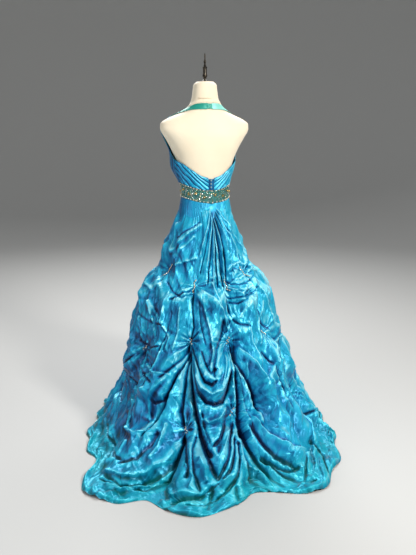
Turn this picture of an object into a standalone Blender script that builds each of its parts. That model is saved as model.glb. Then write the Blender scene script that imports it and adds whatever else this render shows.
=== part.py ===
"""Halter evening gown with a pick-up skirt and a short train, worn by a limbless dress form.

The gown's cloth pieces are thin walls. Each wall is worked out from rings or patches on the
form's own surface, or from the skirt's sections, moved out by a named amount.
Frame: origin on the floor under the form's pole, +Z up, +Y the way the form faces, +X its right.
A bearing is an angle round the form in degrees: 0 at the centre back, 90 at the form's right.
"""

import bmesh
import bpy
import numpy as np

CLOTH = 0.0018
SEAM_GAP = 0.0003
CLEAR_OF_FORM = 0.0022
FRONT_EASE = 0.0040
RING_POWER = 2.3

# The bare form: height, half width, depth in front and depth behind its axis.
FORM_COLUMNS = ("height", "half_width", "front", "back")
FORM_SECTIONS = (
    (0.820, 0.112, 0.082, 0.084),
    (0.835, 0.124, 0.092, 0.094),
    (0.900, 0.126, 0.095, 0.096),
    (0.960, 0.119, 0.092, 0.090),
    (1.010, 0.110, 0.087, 0.082),
    (1.050, 0.102, 0.080, 0.074),
    (1.100, 0.106, 0.083, 0.075),
    (1.150, 0.117, 0.090, 0.080),
    (1.200, 0.131, 0.098, 0.087),
    (1.250, 0.155, 0.098, 0.092),
    (1.290, 0.180, 0.090, 0.092),
    (1.325, 0.202, 0.080, 0.086),
    (1.350, 0.203, 0.072, 0.078),
    (1.370, 0.180, 0.067, 0.071),
    (1.385, 0.146, 0.064, 0.067),
    (1.400, 0.110, 0.061, 0.064),
    (1.415, 0.085, 0.059, 0.061),
    (1.435, 0.068, 0.057, 0.058),
    (1.460, 0.058, 0.054, 0.055),
    (1.500, 0.052, 0.050, 0.051),
    (1.520, 0.048, 0.046, 0.047),
    (1.530, 0.037, 0.035, 0.036),
)
FORM_SIDES = 30
EXTRA_FORM_LEVELS = (
    0.985, 1.030, 1.075, 1.125, 1.175, 1.188, 1.212, 1.225, 1.238, 1.270,
    1.308, 1.338, 1.360, 1.378, 1.392, 1.408, 1.425, 1.447,
)
BUST = {"height": 1.192, "apart": 0.094, "wide": 0.060, "tall": 0.062, "fullness": 0.054}

# Bare pole, base and finial of the stand.
POLE_RADIUS = 0.016
BASE_RADIUS = 0.170
BASE_THICKNESS = 0.014
COLLAR_RADIUS = 0.030
COLLAR_HEIGHT = 0.045
FINIAL_SIDES = 16
FINIAL_COLUMNS = ("above_neck", "radius")
FINIAL_PROFILE = (
    (0.120, 0.0008),
    (0.108, 0.0030),
    (0.094, 0.0026),
    (0.084, 0.0056),
    (0.076, 0.0040),
    (0.066, 0.0062),
    (0.060, 0.0100),
    (0.054, 0.0085),
    (0.030, 0.0095),
    (0.024, 0.0110),
    (0.018, 0.0070),
    (0.010, 0.0065),
    (0.004, 0.0130),
    (0.000, 0.0140),
)

# Beaded waistband: its lower and upper edge round the body.
BAND_COLUMNS = ("bearing", "lower", "upper")
BAND_EDGES = (
    (0, 1.008, 1.064),
    (30, 1.017, 1.074),
    (60, 1.027, 1.088),
    (90, 1.033, 1.097),
    (140, 1.036, 1.100),
    (180, 1.034, 1.104),
)

# Top edge of the low back, from the centre back to the side seam.
BACK_TOP_COLUMNS = ("bearing", "height")
BACK_TOP = ((0, 1.119), (20, 1.124), (40, 1.143), (60, 1.168), (90, 1.204))

# Halter front, half of it: the armhole edge and the neckline edge, from the waist to the strap.
FRONT_COLUMNS = ("outer_bearing", "outer_height", "inner_bearing", "inner_height")
FRONT_EDGES = (
    (90, 1.0975, 180, 1.104),
    (90, 1.150, 180, 1.150),
    (90, 1.204, 180, 1.196),
    (99, 1.240, 177, 1.240),
    (108, 1.282, 170, 1.292),
    (115, 1.328, 157, 1.345),
    (117, 1.352, 138, 1.385),
    (118.3, 1.376, 118.3, 1.402),
)

# Neckband: lower and upper edge from the centre back to where the halter front takes over.
NECK_COLUMNS = ("bearing", "lower", "upper")
NECK_EDGES = (
    (0, 1.412, 1.438),
    (30, 1.411, 1.437),
    (60, 1.406, 1.430),
    (90, 1.394, 1.416),
    (118, 1.376, 1.402),
)

# Skirt sections in the lay of the train: reach of each side from the axis, at each height.
TRAIN_BEARING = -20.0
SKIRT_COLUMNS = ("share", "height", "left", "right", "back", "front")
SKIRT_SECTIONS = (
    (0.000, 1.020, 0.108, 0.108, 0.084, 0.088),
    (0.055, 0.945, 0.134, 0.128, 0.118, 0.112),
    (0.110, 0.870, 0.160, 0.154, 0.160, 0.142),
    (0.170, 0.790, 0.190, 0.182, 0.204, 0.175),
    (0.215, 0.735, 0.212, 0.210, 0.240, 0.200),
    (0.265, 0.680, 0.254, 0.250, 0.288, 0.240),
    (0.330, 0.600, 0.292, 0.293, 0.330, 0.278),
    (0.405, 0.500, 0.336, 0.332, 0.382, 0.315),
    (0.475, 0.410, 0.351, 0.358, 0.428, 0.340),
    (0.540, 0.330, 0.358, 0.380, 0.470, 0.352),
    (0.610, 0.250, 0.354, 0.405, 0.528, 0.378),
    (0.685, 0.170, 0.390, 0.438, 0.590, 0.398),
    (0.765, 0.090, 0.430, 0.474, 0.652, 0.412),
    (0.840, 0.030, 0.462, 0.502, 0.716, 0.418),
    (0.900, 0.004, 0.474, 0.508, 0.770, 0.422),
    (1.000, 0.002, 0.490, 0.515, 0.860, 0.450),
)
# The hem's outline on the floor, with its three lobes behind. Bearings from the train's middle.
HEM_COLUMNS = ("bearing", "reach")
HEM_OUTLINE = (
    (-180, 0.465),
    (-135, 0.475),
    (-90, 0.502),
    (-75, 0.525),
    (-62, 0.592),
    (-50, 0.645),
    (-40, 0.700),
    (-36, 0.790),
    (-32, 0.860),
    (-22, 0.886),
    (-15, 0.828),
    (-9, 0.880),
    (-2, 0.906),
    (5, 0.866),
    (10, 0.822),
    (15, 0.755),
    (21, 0.806),
    (28, 0.852),
    (33, 0.846),
    (39, 0.798),
    (46, 0.757),
    (55, 0.692),
    (62, 0.652),
    (77, 0.566),
    (90, 0.528),
    (135, 0.485),
    (180, 0.465),
)
# Points where the skirt is caught up. Columns: bearing from the train's middle, height, and the
# depth, width and tallness of the pinch.
PICKUPS = (
    (-48, 0.730, 0.022, 0.034, 0.045),
    (-10, 0.690, 0.026, 0.036, 0.050),
    (22, 0.690, 0.026, 0.036, 0.050),
    (52, 0.720, 0.022, 0.034, 0.045),
    (90, 0.725, 0.022, 0.036, 0.045),
    (130, 0.725, 0.022, 0.036, 0.045),
    (172, 0.725, 0.022, 0.036, 0.045),
    (-148, 0.725, 0.022, 0.036, 0.045),
    (-95, 0.725, 0.022, 0.036, 0.045),
    (-47, 0.405, 0.028, 0.044, 0.060),
    (-10, 0.480, 0.034, 0.046, 0.075),
    (17, 0.480, 0.034, 0.044, 0.075),
    (48, 0.470, 0.028, 0.044, 0.060),
    (82, 0.420, 0.026, 0.046, 0.060),
    (122, 0.420, 0.026, 0.046, 0.060),
    (165, 0.420, 0.026, 0.046, 0.060),
    (-150, 0.420, 0.026, 0.046, 0.060),
    (-102, 0.420, 0.026, 0.046, 0.060),
    (-9, 0.190, 0.040, 0.060, 0.070),
    (14, 0.235, 0.040, 0.056, 0.080),
    (60, 0.200, 0.026, 0.056, 0.060),
    (102, 0.190, 0.026, 0.056, 0.060),
    (145, 0.190, 0.026, 0.056, 0.060),
    (-172, 0.190, 0.026, 0.056, 0.060),
    (-125, 0.190, 0.026, 0.056, 0.060),
    (-72, 0.180, 0.026, 0.056, 0.060),
)
# Swags: folds that hang between two catches. Columns: left and right bearing, height at the
# ends, height at the lowest point, half width of the fold, and how far it stands out.
SWAGS = (
    (-48, -10, 0.700, 0.610, 0.040, 0.020),
    (-10, 22, 0.680, 0.620, 0.034, 0.016),
    (22, 52, 0.690, 0.600, 0.040, 0.020),
    (52, 90, 0.700, 0.610, 0.040, 0.020),
    (90, 130, 0.700, 0.610, 0.040, 0.020),
    (130, 172, 0.700, 0.610, 0.040, 0.020),
    (172, 212, 0.700, 0.610, 0.040, 0.020),
    (212, 265, 0.700, 0.610, 0.040, 0.020),
    (265, 312, 0.700, 0.600, 0.040, 0.020),
    (-47, -10, 0.420, 0.250, 0.045, 0.026),
    (-10, 17, 0.440, 0.345, 0.024, 0.016),
    (-10, 17, 0.420, 0.285, 0.026, 0.024),
    (17, 48, 0.430, 0.280, 0.045, 0.026),
    (48, 82, 0.420, 0.270, 0.045, 0.024),
    (82, 122, 0.400, 0.270, 0.045, 0.024),
    (122, 165, 0.400, 0.270, 0.045, 0.024),
    (165, 210, 0.400, 0.270, 0.045, 0.024),
    (210, 258, 0.400, 0.270, 0.045, 0.024),
    (258, 313, 0.400, 0.260, 0.045, 0.024),
    (-9, 14, 0.170, 0.080, 0.030, 0.030),
)
# Long folds that run down the cloth. Columns: bearing and height of the upper end, bearing and
# height of the lower end, half width, and rise (or dip, below zero).
FOLDS = (
    (14, 1.000, 12, 0.700, 0.014, 0.014),
    (32, 1.000, 29, 0.740, 0.014, 0.011),
    (48, 1.000, 44, 0.760, 0.014, 0.009),
    (2, 0.985, -2, 0.740, 0.016, 0.010),
    (-40, 0.960, -34, 0.780, 0.018, 0.008),
    (-75, 0.960, -70, 0.760, 0.020, 0.008),
    (75, 0.980, 74, 0.760, 0.018, 0.008),
    (-10, 0.660, -9, 0.500, 0.026, -0.016),
    (21, 0.660, 17, 0.500, 0.026, -0.016),
    (4, 0.650, 4, 0.480, 0.040, 0.014),
    (-10, 0.470, -9, 0.200, 0.036, -0.026),
    (16, 0.470, 14, 0.250, 0.036, -0.028),
    (-12, 0.470, -28, 0.150, 0.034, -0.022),
    (-18, 0.420, -38, 0.140, 0.036, 0.020),
    (19, 0.460, 29, 0.140, 0.034, -0.020),
    (26, 0.420, 38, 0.120, 0.036, 0.020),
    (48, 0.460, 47, 0.060, 0.040, 0.018),
    (60, 0.440, 60, 0.040, 0.036, -0.016),
    (-58, 0.400, -60, 0.060, 0.040, 0.018),
    (-48, 0.400, -50, 0.080, 0.036, -0.016),
    (-9, 0.180, -14, 0.000, 0.046, -0.030),
    (14, 0.230, 16, 0.000, 0.046, -0.032),
    (-3, 0.170, -5, 0.010, 0.040, 0.018),
    (8, 0.200, 9, 0.010, 0.040, 0.020),
    (-24, 0.160, -28, 0.010, 0.050, 0.026),
    (29, 0.160, 34, 0.010, 0.056, 0.026),
)
# Even waves where the train's folds don't reach: count round, rise, and the heights they grow over.
WAVES = {"count": 22, "rise": 0.011, "from_height": 0.62, "full_height": 0.12}

SKIRT_ROWS = 25
SKIRT_PANELS = (
    ("skirt_back_right", 0, 50, 19),
    ("skirt_side_right", 50, 126, 16),
    ("skirt_front", 126, 234, 15),
    ("skirt_side_left", 234, 306, 16),
    ("skirt_back_left", 306, 360, 21),
)

# Slanting pleats of the bodice: how many cross each panel, and how far each stands out.
BACK_PLEATS = {"count": 6, "rise": 0.0022, "slant": 0.55}
FRONT_PLEATS = {"count": 7, "rise": 0.0022, "slant": 0.35}

PLACKET = {"half_width": 0.0065, "lower": 1.068, "upper": 1.116, "thick": 0.0016}
BUTTON = {"radius": 0.0042, "thick": 0.0024, "heights": (1.080, 1.095, 1.110)}
TAB = {"half_width": 0.0055, "lower": 1.414, "upper": 1.436, "thick": 0.0014}

COLOURS = {
    "taffeta": ((0.010, 0.300, 0.480, 1.0), 0.34, 0.0),
    "satin": ((0.020, 0.420, 0.400, 1.0), 0.30, 0.0),
    "beading": ((0.060, 0.330, 0.310, 1.0), 0.35, 0.25),
    "form_cloth": ((0.830, 0.760, 0.620, 1.0), 0.85, 0.0),
    "dark_metal": ((0.030, 0.028, 0.024, 1.0), 0.35, 0.9),
    "crystal": ((0.650, 0.720, 0.740, 1.0), 0.12, 0.2),
}


def column(rows, names, wanted):
    """One named column of a table, as an array."""
    return np.array([row[names.index(wanted)] for row in rows], float)


def smooth(x, xs, ys):
    """A curve through the points (xs, ys) whose slope never overshoots between them."""
    x = np.clip(x, xs[0], xs[-1])
    steps = np.diff(xs)
    slopes = np.diff(ys) / steps
    tangents = np.concatenate([slopes[:1], (slopes[:-1] + slopes[1:]) / 2, slopes[-1:]])
    flat = np.concatenate([[False], slopes[:-1] * slopes[1:] <= 0, [False]])
    tangents[flat] = 0.0
    i = np.clip(np.searchsorted(xs, x, side="right") - 1, 0, len(steps) - 1)
    width = steps[i]
    s = (x - xs[i]) / width
    from_start = ys[i] * (1 + 2 * s) * (1 - s) ** 2 + tangents[i] * width * s * (1 - s) ** 2
    to_end = ys[i + 1] * (3 - 2 * s) * s**2 + tangents[i + 1] * width * s**2 * (s - 1)
    return from_start + to_end


def from_table(x, rows, names, key, wanted):
    return smooth(np.asarray(x, float), column(rows, names, key), column(rows, names, wanted))


def rounded(angle):
    """Cosine and sine of a bearing on a ring that is a little squarer than an ellipse."""
    cosine, sine = np.cos(angle), np.sin(angle)
    power = 2 / RING_POWER
    return np.sign(cosine) * np.abs(cosine) ** power, np.sign(sine) * np.abs(sine) ** power


def form_surface(bearing, height):
    """Points of the bare form's surface. Bearings in degrees, heights in metres."""
    bearing, height = np.broadcast_arrays(np.asarray(bearing, float), np.asarray(height, float))
    cosine, sine = rounded(np.radians(bearing))
    half_width, front, back = (
        from_table(height, FORM_SECTIONS, FORM_COLUMNS, "height", name)
        for name in ("half_width", "front", "back")
    )
    x = half_width * sine
    y = -np.where(cosine > 0, back, front) * cosine
    beside = (np.abs(x) - BUST["apart"]) / BUST["wide"]
    above = (height - BUST["height"]) / BUST["tall"]
    facing = np.clip(y / 0.05, 0, 1)
    y = y + BUST["fullness"] * facing * np.exp(-(beside**2) - above**2)
    return np.stack([x, y, height], axis=-1)


def moved_out(surface, u, v, distance, du, dv):
    """Points of a surface moved out along its normal, which comes from its own slopes."""
    along = surface(u + du, v) - surface(u - du, v)
    up = surface(u, v + dv) - surface(u, v - dv)
    normal = np.cross(along, up)
    normal /= np.linalg.norm(normal, axis=-1, keepdims=True)
    return surface(u, v) + normal * np.asarray(distance)[..., None]


def on_form(bearing, height, distance):
    """Points at a distance outside the form."""
    return moved_out(form_surface, bearing, height, distance, 0.5, 0.001)


def folded(bearing):
    """The bearing brought between -180 and 180 degrees."""
    return (bearing + 180.0) % 360.0 - 180.0


def hem_share(share):
    """0 where the waves stand out from the hanging cloth, 1 where they bend the hem's outline."""
    return np.clip((share - 0.78) / 0.10, 0, 1)


def even_waves(lay, height):
    """The waves that run down the skirt, growing towards the floor."""
    fall = WAVES["from_height"] - WAVES["full_height"]
    grown = np.clip((WAVES["from_height"] - height) / fall, 0, 1)
    calm = 1 - 0.75 * np.exp(-((lay / 40) ** 4))
    return WAVES["rise"] * grown * calm * np.cos(np.radians(WAVES["count"] * lay))


def skirt_base(bearing, share):
    """The skirt without its folds: share 0 at the waistband and 1 at the hem."""
    bearing, share = np.broadcast_arrays(np.asarray(bearing, float), np.asarray(share, float))
    lay = folded(bearing - TRAIN_BEARING)
    cosine, sine = np.cos(np.radians(lay)), np.sin(np.radians(lay))
    height, left, right, back, front = (
        from_table(share, SKIRT_SECTIONS, SKIRT_COLUMNS, "share", name)
        for name in ("height", "left", "right", "back", "front")
    )
    side = np.where(sine > 0, right, left)
    ahead = np.where(cosine > 0, back, front)
    reach = 1 / np.sqrt((sine / side) ** 2 + (cosine / ahead) ** 2)
    hem = from_table(lay, HEM_OUTLINE, HEM_COLUMNS, "bearing", "reach")
    on_floor = np.clip((share - 0.60) / 0.40, 0, 1) ** 2
    reach = reach * (1 - on_floor) + hem * on_floor
    reach += even_waves(lay, height) * hem_share(share)
    angle = np.radians(bearing)
    loose = np.stack([reach * np.sin(angle), -reach * np.cos(angle), height], axis=-1)
    top = from_table(np.abs(folded(bearing)), BAND_EDGES, BAND_COLUMNS, "bearing", "lower")
    fitted = on_form(bearing, top - SEAM_GAP, np.full_like(bearing, CLEAR_OF_FORM + CLOTH))
    held = np.clip(1 - share / 0.09, 0, 1) ** 2 * (1 + 2 * np.clip(share / 0.09, 0, 1))
    fitted[..., 2] -= (SKIRT_SECTIONS[0][1] - height) * 1.0
    return fitted * held[..., None] + loose * (1 - held[..., None])


def skirt_rise(bearing, share):
    """How far the cloth stands out from the plain skirt: pinches, swags, long folds and waves."""
    lay = folded(bearing - TRAIN_BEARING)
    height = from_table(share, SKIRT_SECTIONS, SKIRT_COLUMNS, "share", "height")
    back = from_table(share, SKIRT_SECTIONS, SKIRT_COLUMNS, "share", "back")
    side = from_table(share, SKIRT_SECTIONS, SKIRT_COLUMNS, "share", "left")
    arc = np.radians(1.0) * (back * 0.5 + side * 0.5)
    rise = np.zeros_like(lay)
    for at, level, depth, wide, tall in PICKUPS:
        across = folded(lay - at) * arc / wide
        rise -= depth * np.exp(-(across**2) - ((height - level) / tall) ** 2)
    for left, right, ends, lowest, wide, lift in SWAGS:
        middle, half = (left + right) / 2, (right - left) / 2
        place = folded(lay - middle) / half
        inside = np.clip(1 - place**2, 0, 1)
        line = lowest + (ends - lowest) * place**2
        rise += lift * inside**0.7 * np.exp(-(((height - line) / wide) ** 2))
    for top_at, top, low_at, low, wide, out in FOLDS:
        down = np.clip((top - height) / (top - low), 0, 1)
        centre = top_at + (low_at - top_at) * down
        ends = np.clip((top + 0.03 - height) / 0.06, 0, 1) * np.clip((height - low + 0.03) / 0.06, 0, 1)
        rise += out * ends * np.exp(-((folded(lay - centre) * arc / wide) ** 2))
    rise += even_waves(lay, height) * (1 - hem_share(share))
    return rise * np.clip(share / 0.03, 0, 1)


def clear_of_form(points, distance):
    """The points, each pushed away from the axis until it is this far outside the form."""
    x, y, height = points[..., 0], points[..., 1], points[..., 2]
    bottom = FORM_SECTIONS[1][0]
    body = form_surface(np.degrees(np.arctan2(x, -y)), np.maximum(height, bottom))
    needed = np.hypot(body[..., 0], body[..., 1]) + distance
    near = np.clip((height - bottom + 0.06) / 0.05, 0, 1)
    grown = 1 + near * (np.maximum(needed / np.hypot(x, y), 1) - 1)
    return np.stack([x * grown, y * grown, height], axis=-1)


def skirt_surface(bearing, share):
    """The skirt's outer surface, which never goes lower than a cloth's thickness over the floor."""
    points = moved_out(skirt_base, bearing, share, skirt_rise(bearing, share), 0.4, -0.002)
    points = clear_of_form(points, CLEAR_OF_FORM + CLOTH)
    points[..., 2] = np.maximum(points[..., 2], CLOTH)
    return points


def material(name):
    """A Principled material of one of the named colours."""
    found = bpy.data.materials.get(name)
    if found:
        return found
    colour, roughness, metallic = COLOURS[name]
    made = bpy.data.materials.new(name)
    made.use_nodes = True
    shader = made.node_tree.nodes["Principled BSDF"]
    shader.inputs["Base Color"].default_value = colour
    shader.inputs["Roughness"].default_value = roughness
    shader.inputs["Metallic"].default_value = metallic
    made.diffuse_color = colour
    return made


def add_part(name, mesh, finish):
    """Puts a mesh in the gown's collection as a named, smooth-shaded part."""
    part = bpy.data.objects.new(name, mesh)
    mesh.materials.append(material(finish))
    mesh.shade_smooth()
    mesh.set_sharp_from_angle(angle=np.radians(50))
    gown.objects.link(part)
    return part


def mesh_of(name, points, faces):
    mesh = bpy.data.meshes.new(name)
    mesh.from_pydata(points.tolist(), [], faces)
    mesh.validate()
    return mesh


def grid_faces(points, first, flip):
    """Triangles of a grid of points that starts at index first: each quad is cut along its
    shorter diagonal, the same one on both skins of a wall."""
    rows, columns = points.shape[:2]
    rising = np.linalg.norm(points[1:, 1:] - points[:-1, :-1], axis=-1)
    falling = np.linalg.norm(points[1:, :-1] - points[:-1, 1:], axis=-1)
    faces = []
    for r in range(rows - 1):
        for c in range(columns - 1):
            a = first + r * columns + c
            b, d, e = a + 1, a + columns, a + columns + 1
            cut = ((a, b, e), (a, e, d)) if rising[r, c] < falling[r, c] else ((a, b, d), (b, e, d))
            faces += [face[::-1] if flip else face for face in cut]
    return faces


def wall(name, outer, inner, finish):
    """A closed wall between two grids of points, given row by row from low to high."""
    rows, columns = outer.shape[:2]
    inner_first = rows * columns
    faces = grid_faces(outer, 0, False) + grid_faces(outer, inner_first, True)
    for low, high in ((0, 1), (rows * columns - columns, rows * columns - columns + 1)):
        for c in range(columns - 1):
            quad = (low + c, low + c + inner_first, high + c + inner_first, high + c)
            faces.append(quad if low == 0 else quad[::-1])
    for r in range(rows - 1):
        low, high = r * columns, (r + 1) * columns
        faces.append((high, high + inner_first, low))
        faces.append((high + inner_first, low + inner_first, low))
        low, high = low + columns - 1, high + columns - 1
        faces.append((low, low + inner_first, high + inner_first))
        faces.append((low, high + inner_first, high))
    points = np.concatenate([outer.reshape(-1, 3), inner.reshape(-1, 3)])
    return add_part(name, mesh_of(name, points, faces), finish)


def loft(name, rings, finish):
    """A closed solid through rings of points, from low to high, capped at both ends."""
    count, sides = rings.shape[:2]
    faces = []
    for r in range(count - 1):
        for s in range(sides):
            a, b = r * sides + s, r * sides + (s + 1) % sides
            faces.append((a, b, b + sides, a + sides))
    faces.append(tuple(range(sides))[::-1])
    faces.append(tuple((count - 1) * sides + s for s in range(sides)))
    return add_part(name, mesh_of(name, rings.reshape(-1, 3), faces), finish)


def turned(name, profile, sides, at_height, finish):
    """A turned solid about the pole's axis: rows of height and radius, given top to bottom."""
    angles = np.arange(sides) * 2 * np.pi / sides
    rings = [
        np.stack([r * np.cos(angles), r * np.sin(angles), np.full(sides, at_height + h)], axis=1)
        for h, r in profile[::-1]
    ]
    return loft(name, np.array(rings), finish)


def cylinder(name, radius, low, high, sides, finish):
    shape = bmesh.new()
    bmesh.ops.create_cone(
        shape, cap_ends=True, segments=sides, radius1=radius, radius2=radius, depth=high - low
    )
    bmesh.ops.translate(shape, verts=shape.verts, vec=(0, 0, (low + high) / 2))
    mesh = bpy.data.meshes.new(name)
    shape.to_mesh(mesh)
    shape.free()
    return add_part(name, mesh, finish)


def form_and_stand():
    """The limbless form, its turned finial, and the pole and round base that carry it."""
    heights = column(FORM_SECTIONS, FORM_COLUMNS, "height")
    levels = np.unique(np.concatenate([heights, EXTRA_FORM_LEVELS]))
    bearings = np.arange(FORM_SIDES) * 360.0 / FORM_SIDES
    loft("dress_form", form_surface(bearings[None, :], levels[:, None]), "form_cloth")
    turned("finial", FINIAL_PROFILE, FINIAL_SIDES, heights[-1] + SEAM_GAP, "dark_metal")
    cylinder("base", BASE_RADIUS, 0.0, BASE_THICKNESS, 40, "dark_metal")
    foot = BASE_THICKNESS + SEAM_GAP
    flange = ((COLLAR_HEIGHT, POLE_RADIUS + 0.002), (0.008, COLLAR_RADIUS), (0.0, COLLAR_RADIUS))
    turned("base_collar", flange, 20, foot, "dark_metal")
    low = foot + COLLAR_HEIGHT + SEAM_GAP
    cylinder("pole", POLE_RADIUS, low, heights[0] - SEAM_GAP, 20, "dark_metal")


def on_form_wall(name, bearings, heights, rise, finish, under=CLEAR_OF_FORM):
    """A cloth wall that lies on the form, plain inside, with its outer points raised."""
    outer = on_form(bearings, heights, under + CLOTH + rise)
    inner = on_form(bearings, heights, np.full_like(rise, under))
    return wall(name, outer, inner, finish)


def pleat_wave(across, up, pleats):
    """Pleats that slant upwards: a rounded ridge, then a sharp valley."""
    phase = (across + pleats["slant"] * up) * pleats["count"]
    return pleats["rise"] * np.sqrt(np.abs(np.sin(np.pi * phase)))


def seam_in_degrees(bearing, height):
    """Half a seam's gap, as an angle at that place on the form."""
    step = form_surface(bearing + 0.5, height) - form_surface(bearing - 0.5, height)
    return SEAM_GAP / 2 / np.linalg.norm(step)


def bodice_back(name, side):
    """Half of the low back, from the centre-back closing to the side seam."""
    columns, rows = 22, 5
    near = PLACKET["half_width"] / 0.078 * np.degrees(1.0) + 0.3
    far = 90 - seam_in_degrees(90.0, 1.15)
    across = np.linspace(0, 1, columns)[None, :]
    up = np.linspace(0, 1, rows)[:, None]
    bearings = near + (far - near) * across + 0 * up
    low = from_table(bearings, BAND_EDGES, BAND_COLUMNS, "bearing", "upper") + SEAM_GAP
    high = from_table(bearings, BACK_TOP, BACK_TOP_COLUMNS, "bearing", "height")
    heights = low + (high - low) * up
    rise = pleat_wave(across, up, BACK_PLEATS) + 0 * bearings
    if side < 0:
        bearings, heights, rise = -bearings[:, ::-1], heights[:, ::-1], rise[:, ::-1]
    on_form_wall(name, bearings, heights, rise, "taffeta")


def bodice_front(name, side):
    """One half of the halter front: a cup that narrows upwards into its neck strap."""
    columns, rows = 16, 12
    knots = np.linspace(0, 1, len(FRONT_EDGES))
    up = np.linspace(0, 1, rows)
    edge = {key: smooth(up, knots, column(FRONT_EDGES, FRONT_COLUMNS, key)) for key in FRONT_COLUMNS}
    across = np.linspace(0, 1, columns)[None, :]
    gap = seam_in_degrees(90.0, 1.15)
    outer_bearing = edge["outer_bearing"][:, None] + gap
    inner_bearing = edge["inner_bearing"][:, None] - gap
    bearings = outer_bearing + (inner_bearing - outer_bearing) * across
    heights = edge["outer_height"][:, None] * (1 - across) + edge["inner_height"][:, None] * across
    waist = from_table(bearings[0], BAND_EDGES, BAND_COLUMNS, "bearing", "upper") + SEAM_GAP
    lift = np.clip(1 - up / 0.2, 0, 1)[:, None]
    heights = heights * (1 - lift) + np.maximum(heights, waist[None, :]) * lift
    heights[0] = waist
    rise = pleat_wave(across, up[:, None], FRONT_PLEATS) * np.clip((1 - up[:, None]) / 0.3, 0, 1)
    if side < 0:
        bearings, heights, rise = -bearings[:, ::-1], heights[:, ::-1], rise[:, ::-1]
    ease = CLEAR_OF_FORM + FRONT_EASE * (0.3 + 0.7 * np.sin(np.pi * across))
    on_form_wall(name, bearings, heights, rise, "taffeta", ease)


def waistband(name, low_bearing, high_bearing, columns):
    """A length of the beaded band, with its beading raised in the outer points."""
    rows = 6
    gap = seam_in_degrees(90.0, 1.06)
    bearings = np.linspace(low_bearing + gap, high_bearing - gap, columns)[None, :] + np.zeros((rows, 1))
    up = np.linspace(0, 1, rows)[:, None]
    turn = np.abs(folded(bearings))
    low = from_table(turn, BAND_EDGES, BAND_COLUMNS, "bearing", "lower")
    high = from_table(turn, BAND_EDGES, BAND_COLUMNS, "bearing", "upper")
    heights = low + (high - low) * up
    checker = (np.arange(rows)[:, None] + np.arange(columns)[None, :]) % 2
    rise = 0.0016 * checker + 0.0006
    on_form_wall(name, bearings, heights, rise, "beading")


def neckband(name, side):
    """Half of the satin neckband, from the centre-back fastening to the halter front."""
    columns, rows = 20, 3
    near = TAB["half_width"] / 0.062 * np.degrees(1.0) + 0.4
    bearings = np.linspace(near, NECK_EDGES[-1][0], columns)[None, :] + np.zeros((rows, 1))
    up = np.linspace(0, 1, rows)[:, None]
    low = from_table(bearings, NECK_EDGES, NECK_COLUMNS, "bearing", "lower")
    high = from_table(bearings, NECK_EDGES, NECK_COLUMNS, "bearing", "upper")
    heights = low + (high - low) * up
    if side < 0:
        bearings, heights = -bearings[:, ::-1], heights[:, ::-1]
    on_form_wall(name, bearings, heights, np.zeros_like(bearings), "satin")


def strip_on_back(name, sizes, finish):
    """A narrow upright strip at the centre back, lying between the two halves beside it."""
    rows, columns = 6, 3
    middle = form_surface(0.0, (sizes["lower"] + sizes["upper"]) / 2)
    reach = np.degrees(sizes["half_width"] / np.linalg.norm(middle[:2]))
    bearings = np.linspace(-reach, reach, columns)[None, :] + np.zeros((rows, 1))
    heights = np.linspace(sizes["lower"], sizes["upper"], rows)[:, None] + np.zeros((1, columns))
    on_form_wall(name, bearings, heights, np.full(bearings.shape, sizes["thick"]), finish)


def buttons():
    """Round crystal buttons down the centre-back placket, each just clear of it."""
    for number, height in enumerate(BUTTON["heights"], start=1):
        seat = CLEAR_OF_FORM + CLOTH + PLACKET["thick"] + SEAM_GAP
        middle = on_form(np.array(0.0), np.array(height), np.array(seat))
        shape = bmesh.new()
        bmesh.ops.create_cone(
            shape,
            cap_ends=True,
            segments=14,
            radius1=BUTTON["radius"],
            radius2=BUTTON["radius"] * 0.7,
            depth=BUTTON["thick"],
        )
        mesh = bpy.data.meshes.new(f"button_{number}")
        shape.to_mesh(mesh)
        shape.free()
        button = add_part(f"button_{number}", mesh, "crystal")
        button.rotation_euler = (np.pi / 2, 0, 0)
        button.location = (middle[0], middle[1] - BUTTON["thick"] / 2 - 0.0006, middle[2])


def skirt_panel(name, low_bearing, high_bearing, columns):
    """One panel of the skirt, cut from the shared surface with a seam's gap at each side."""
    share = np.linspace(1, 0, SKIRT_ROWS)[:, None] ** 0.95
    bearings = np.linspace(low_bearing, high_bearing, columns)[None, :] + np.zeros_like(share)
    share = share + np.zeros_like(bearings)
    outer = skirt_surface(bearings, share)
    along = skirt_surface(bearings + 0.5, share) - skirt_surface(bearings - 0.5, share)
    above, below = np.maximum(share - 0.004, 0.0), np.minimum(share + 0.004, 1.0)
    up = skirt_surface(bearings, above) - skirt_surface(bearings, below)
    normal = np.cross(along, up)
    inside = (slice(None), slice(1, -1))
    normal[inside] = np.cross(np.gradient(outer, axis=1), np.gradient(outer, axis=0))[inside]
    normal /= np.linalg.norm(normal, axis=-1, keepdims=True)
    inner = clear_of_form(outer - normal * CLOTH, CLEAR_OF_FORM * 0.8)
    inner[..., 2] = np.maximum(inner[..., 2], 0.0)
    aside = np.cross(up, normal)
    aside *= SEAM_GAP / 2 / np.linalg.norm(aside, axis=-1, keepdims=True)
    for at, way in ((0, 1), (-1, -1)):
        outer[:, at] += aside[:, at] * way
        inner[:, at] += aside[:, at] * way
    wall(name, outer, inner, "taffeta")


for old in list(bpy.data.objects):
    bpy.data.objects.remove(old, do_unlink=True)
gown = bpy.data.collections.new("halter_gown_on_form")
bpy.context.scene.collection.children.link(gown)

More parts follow.
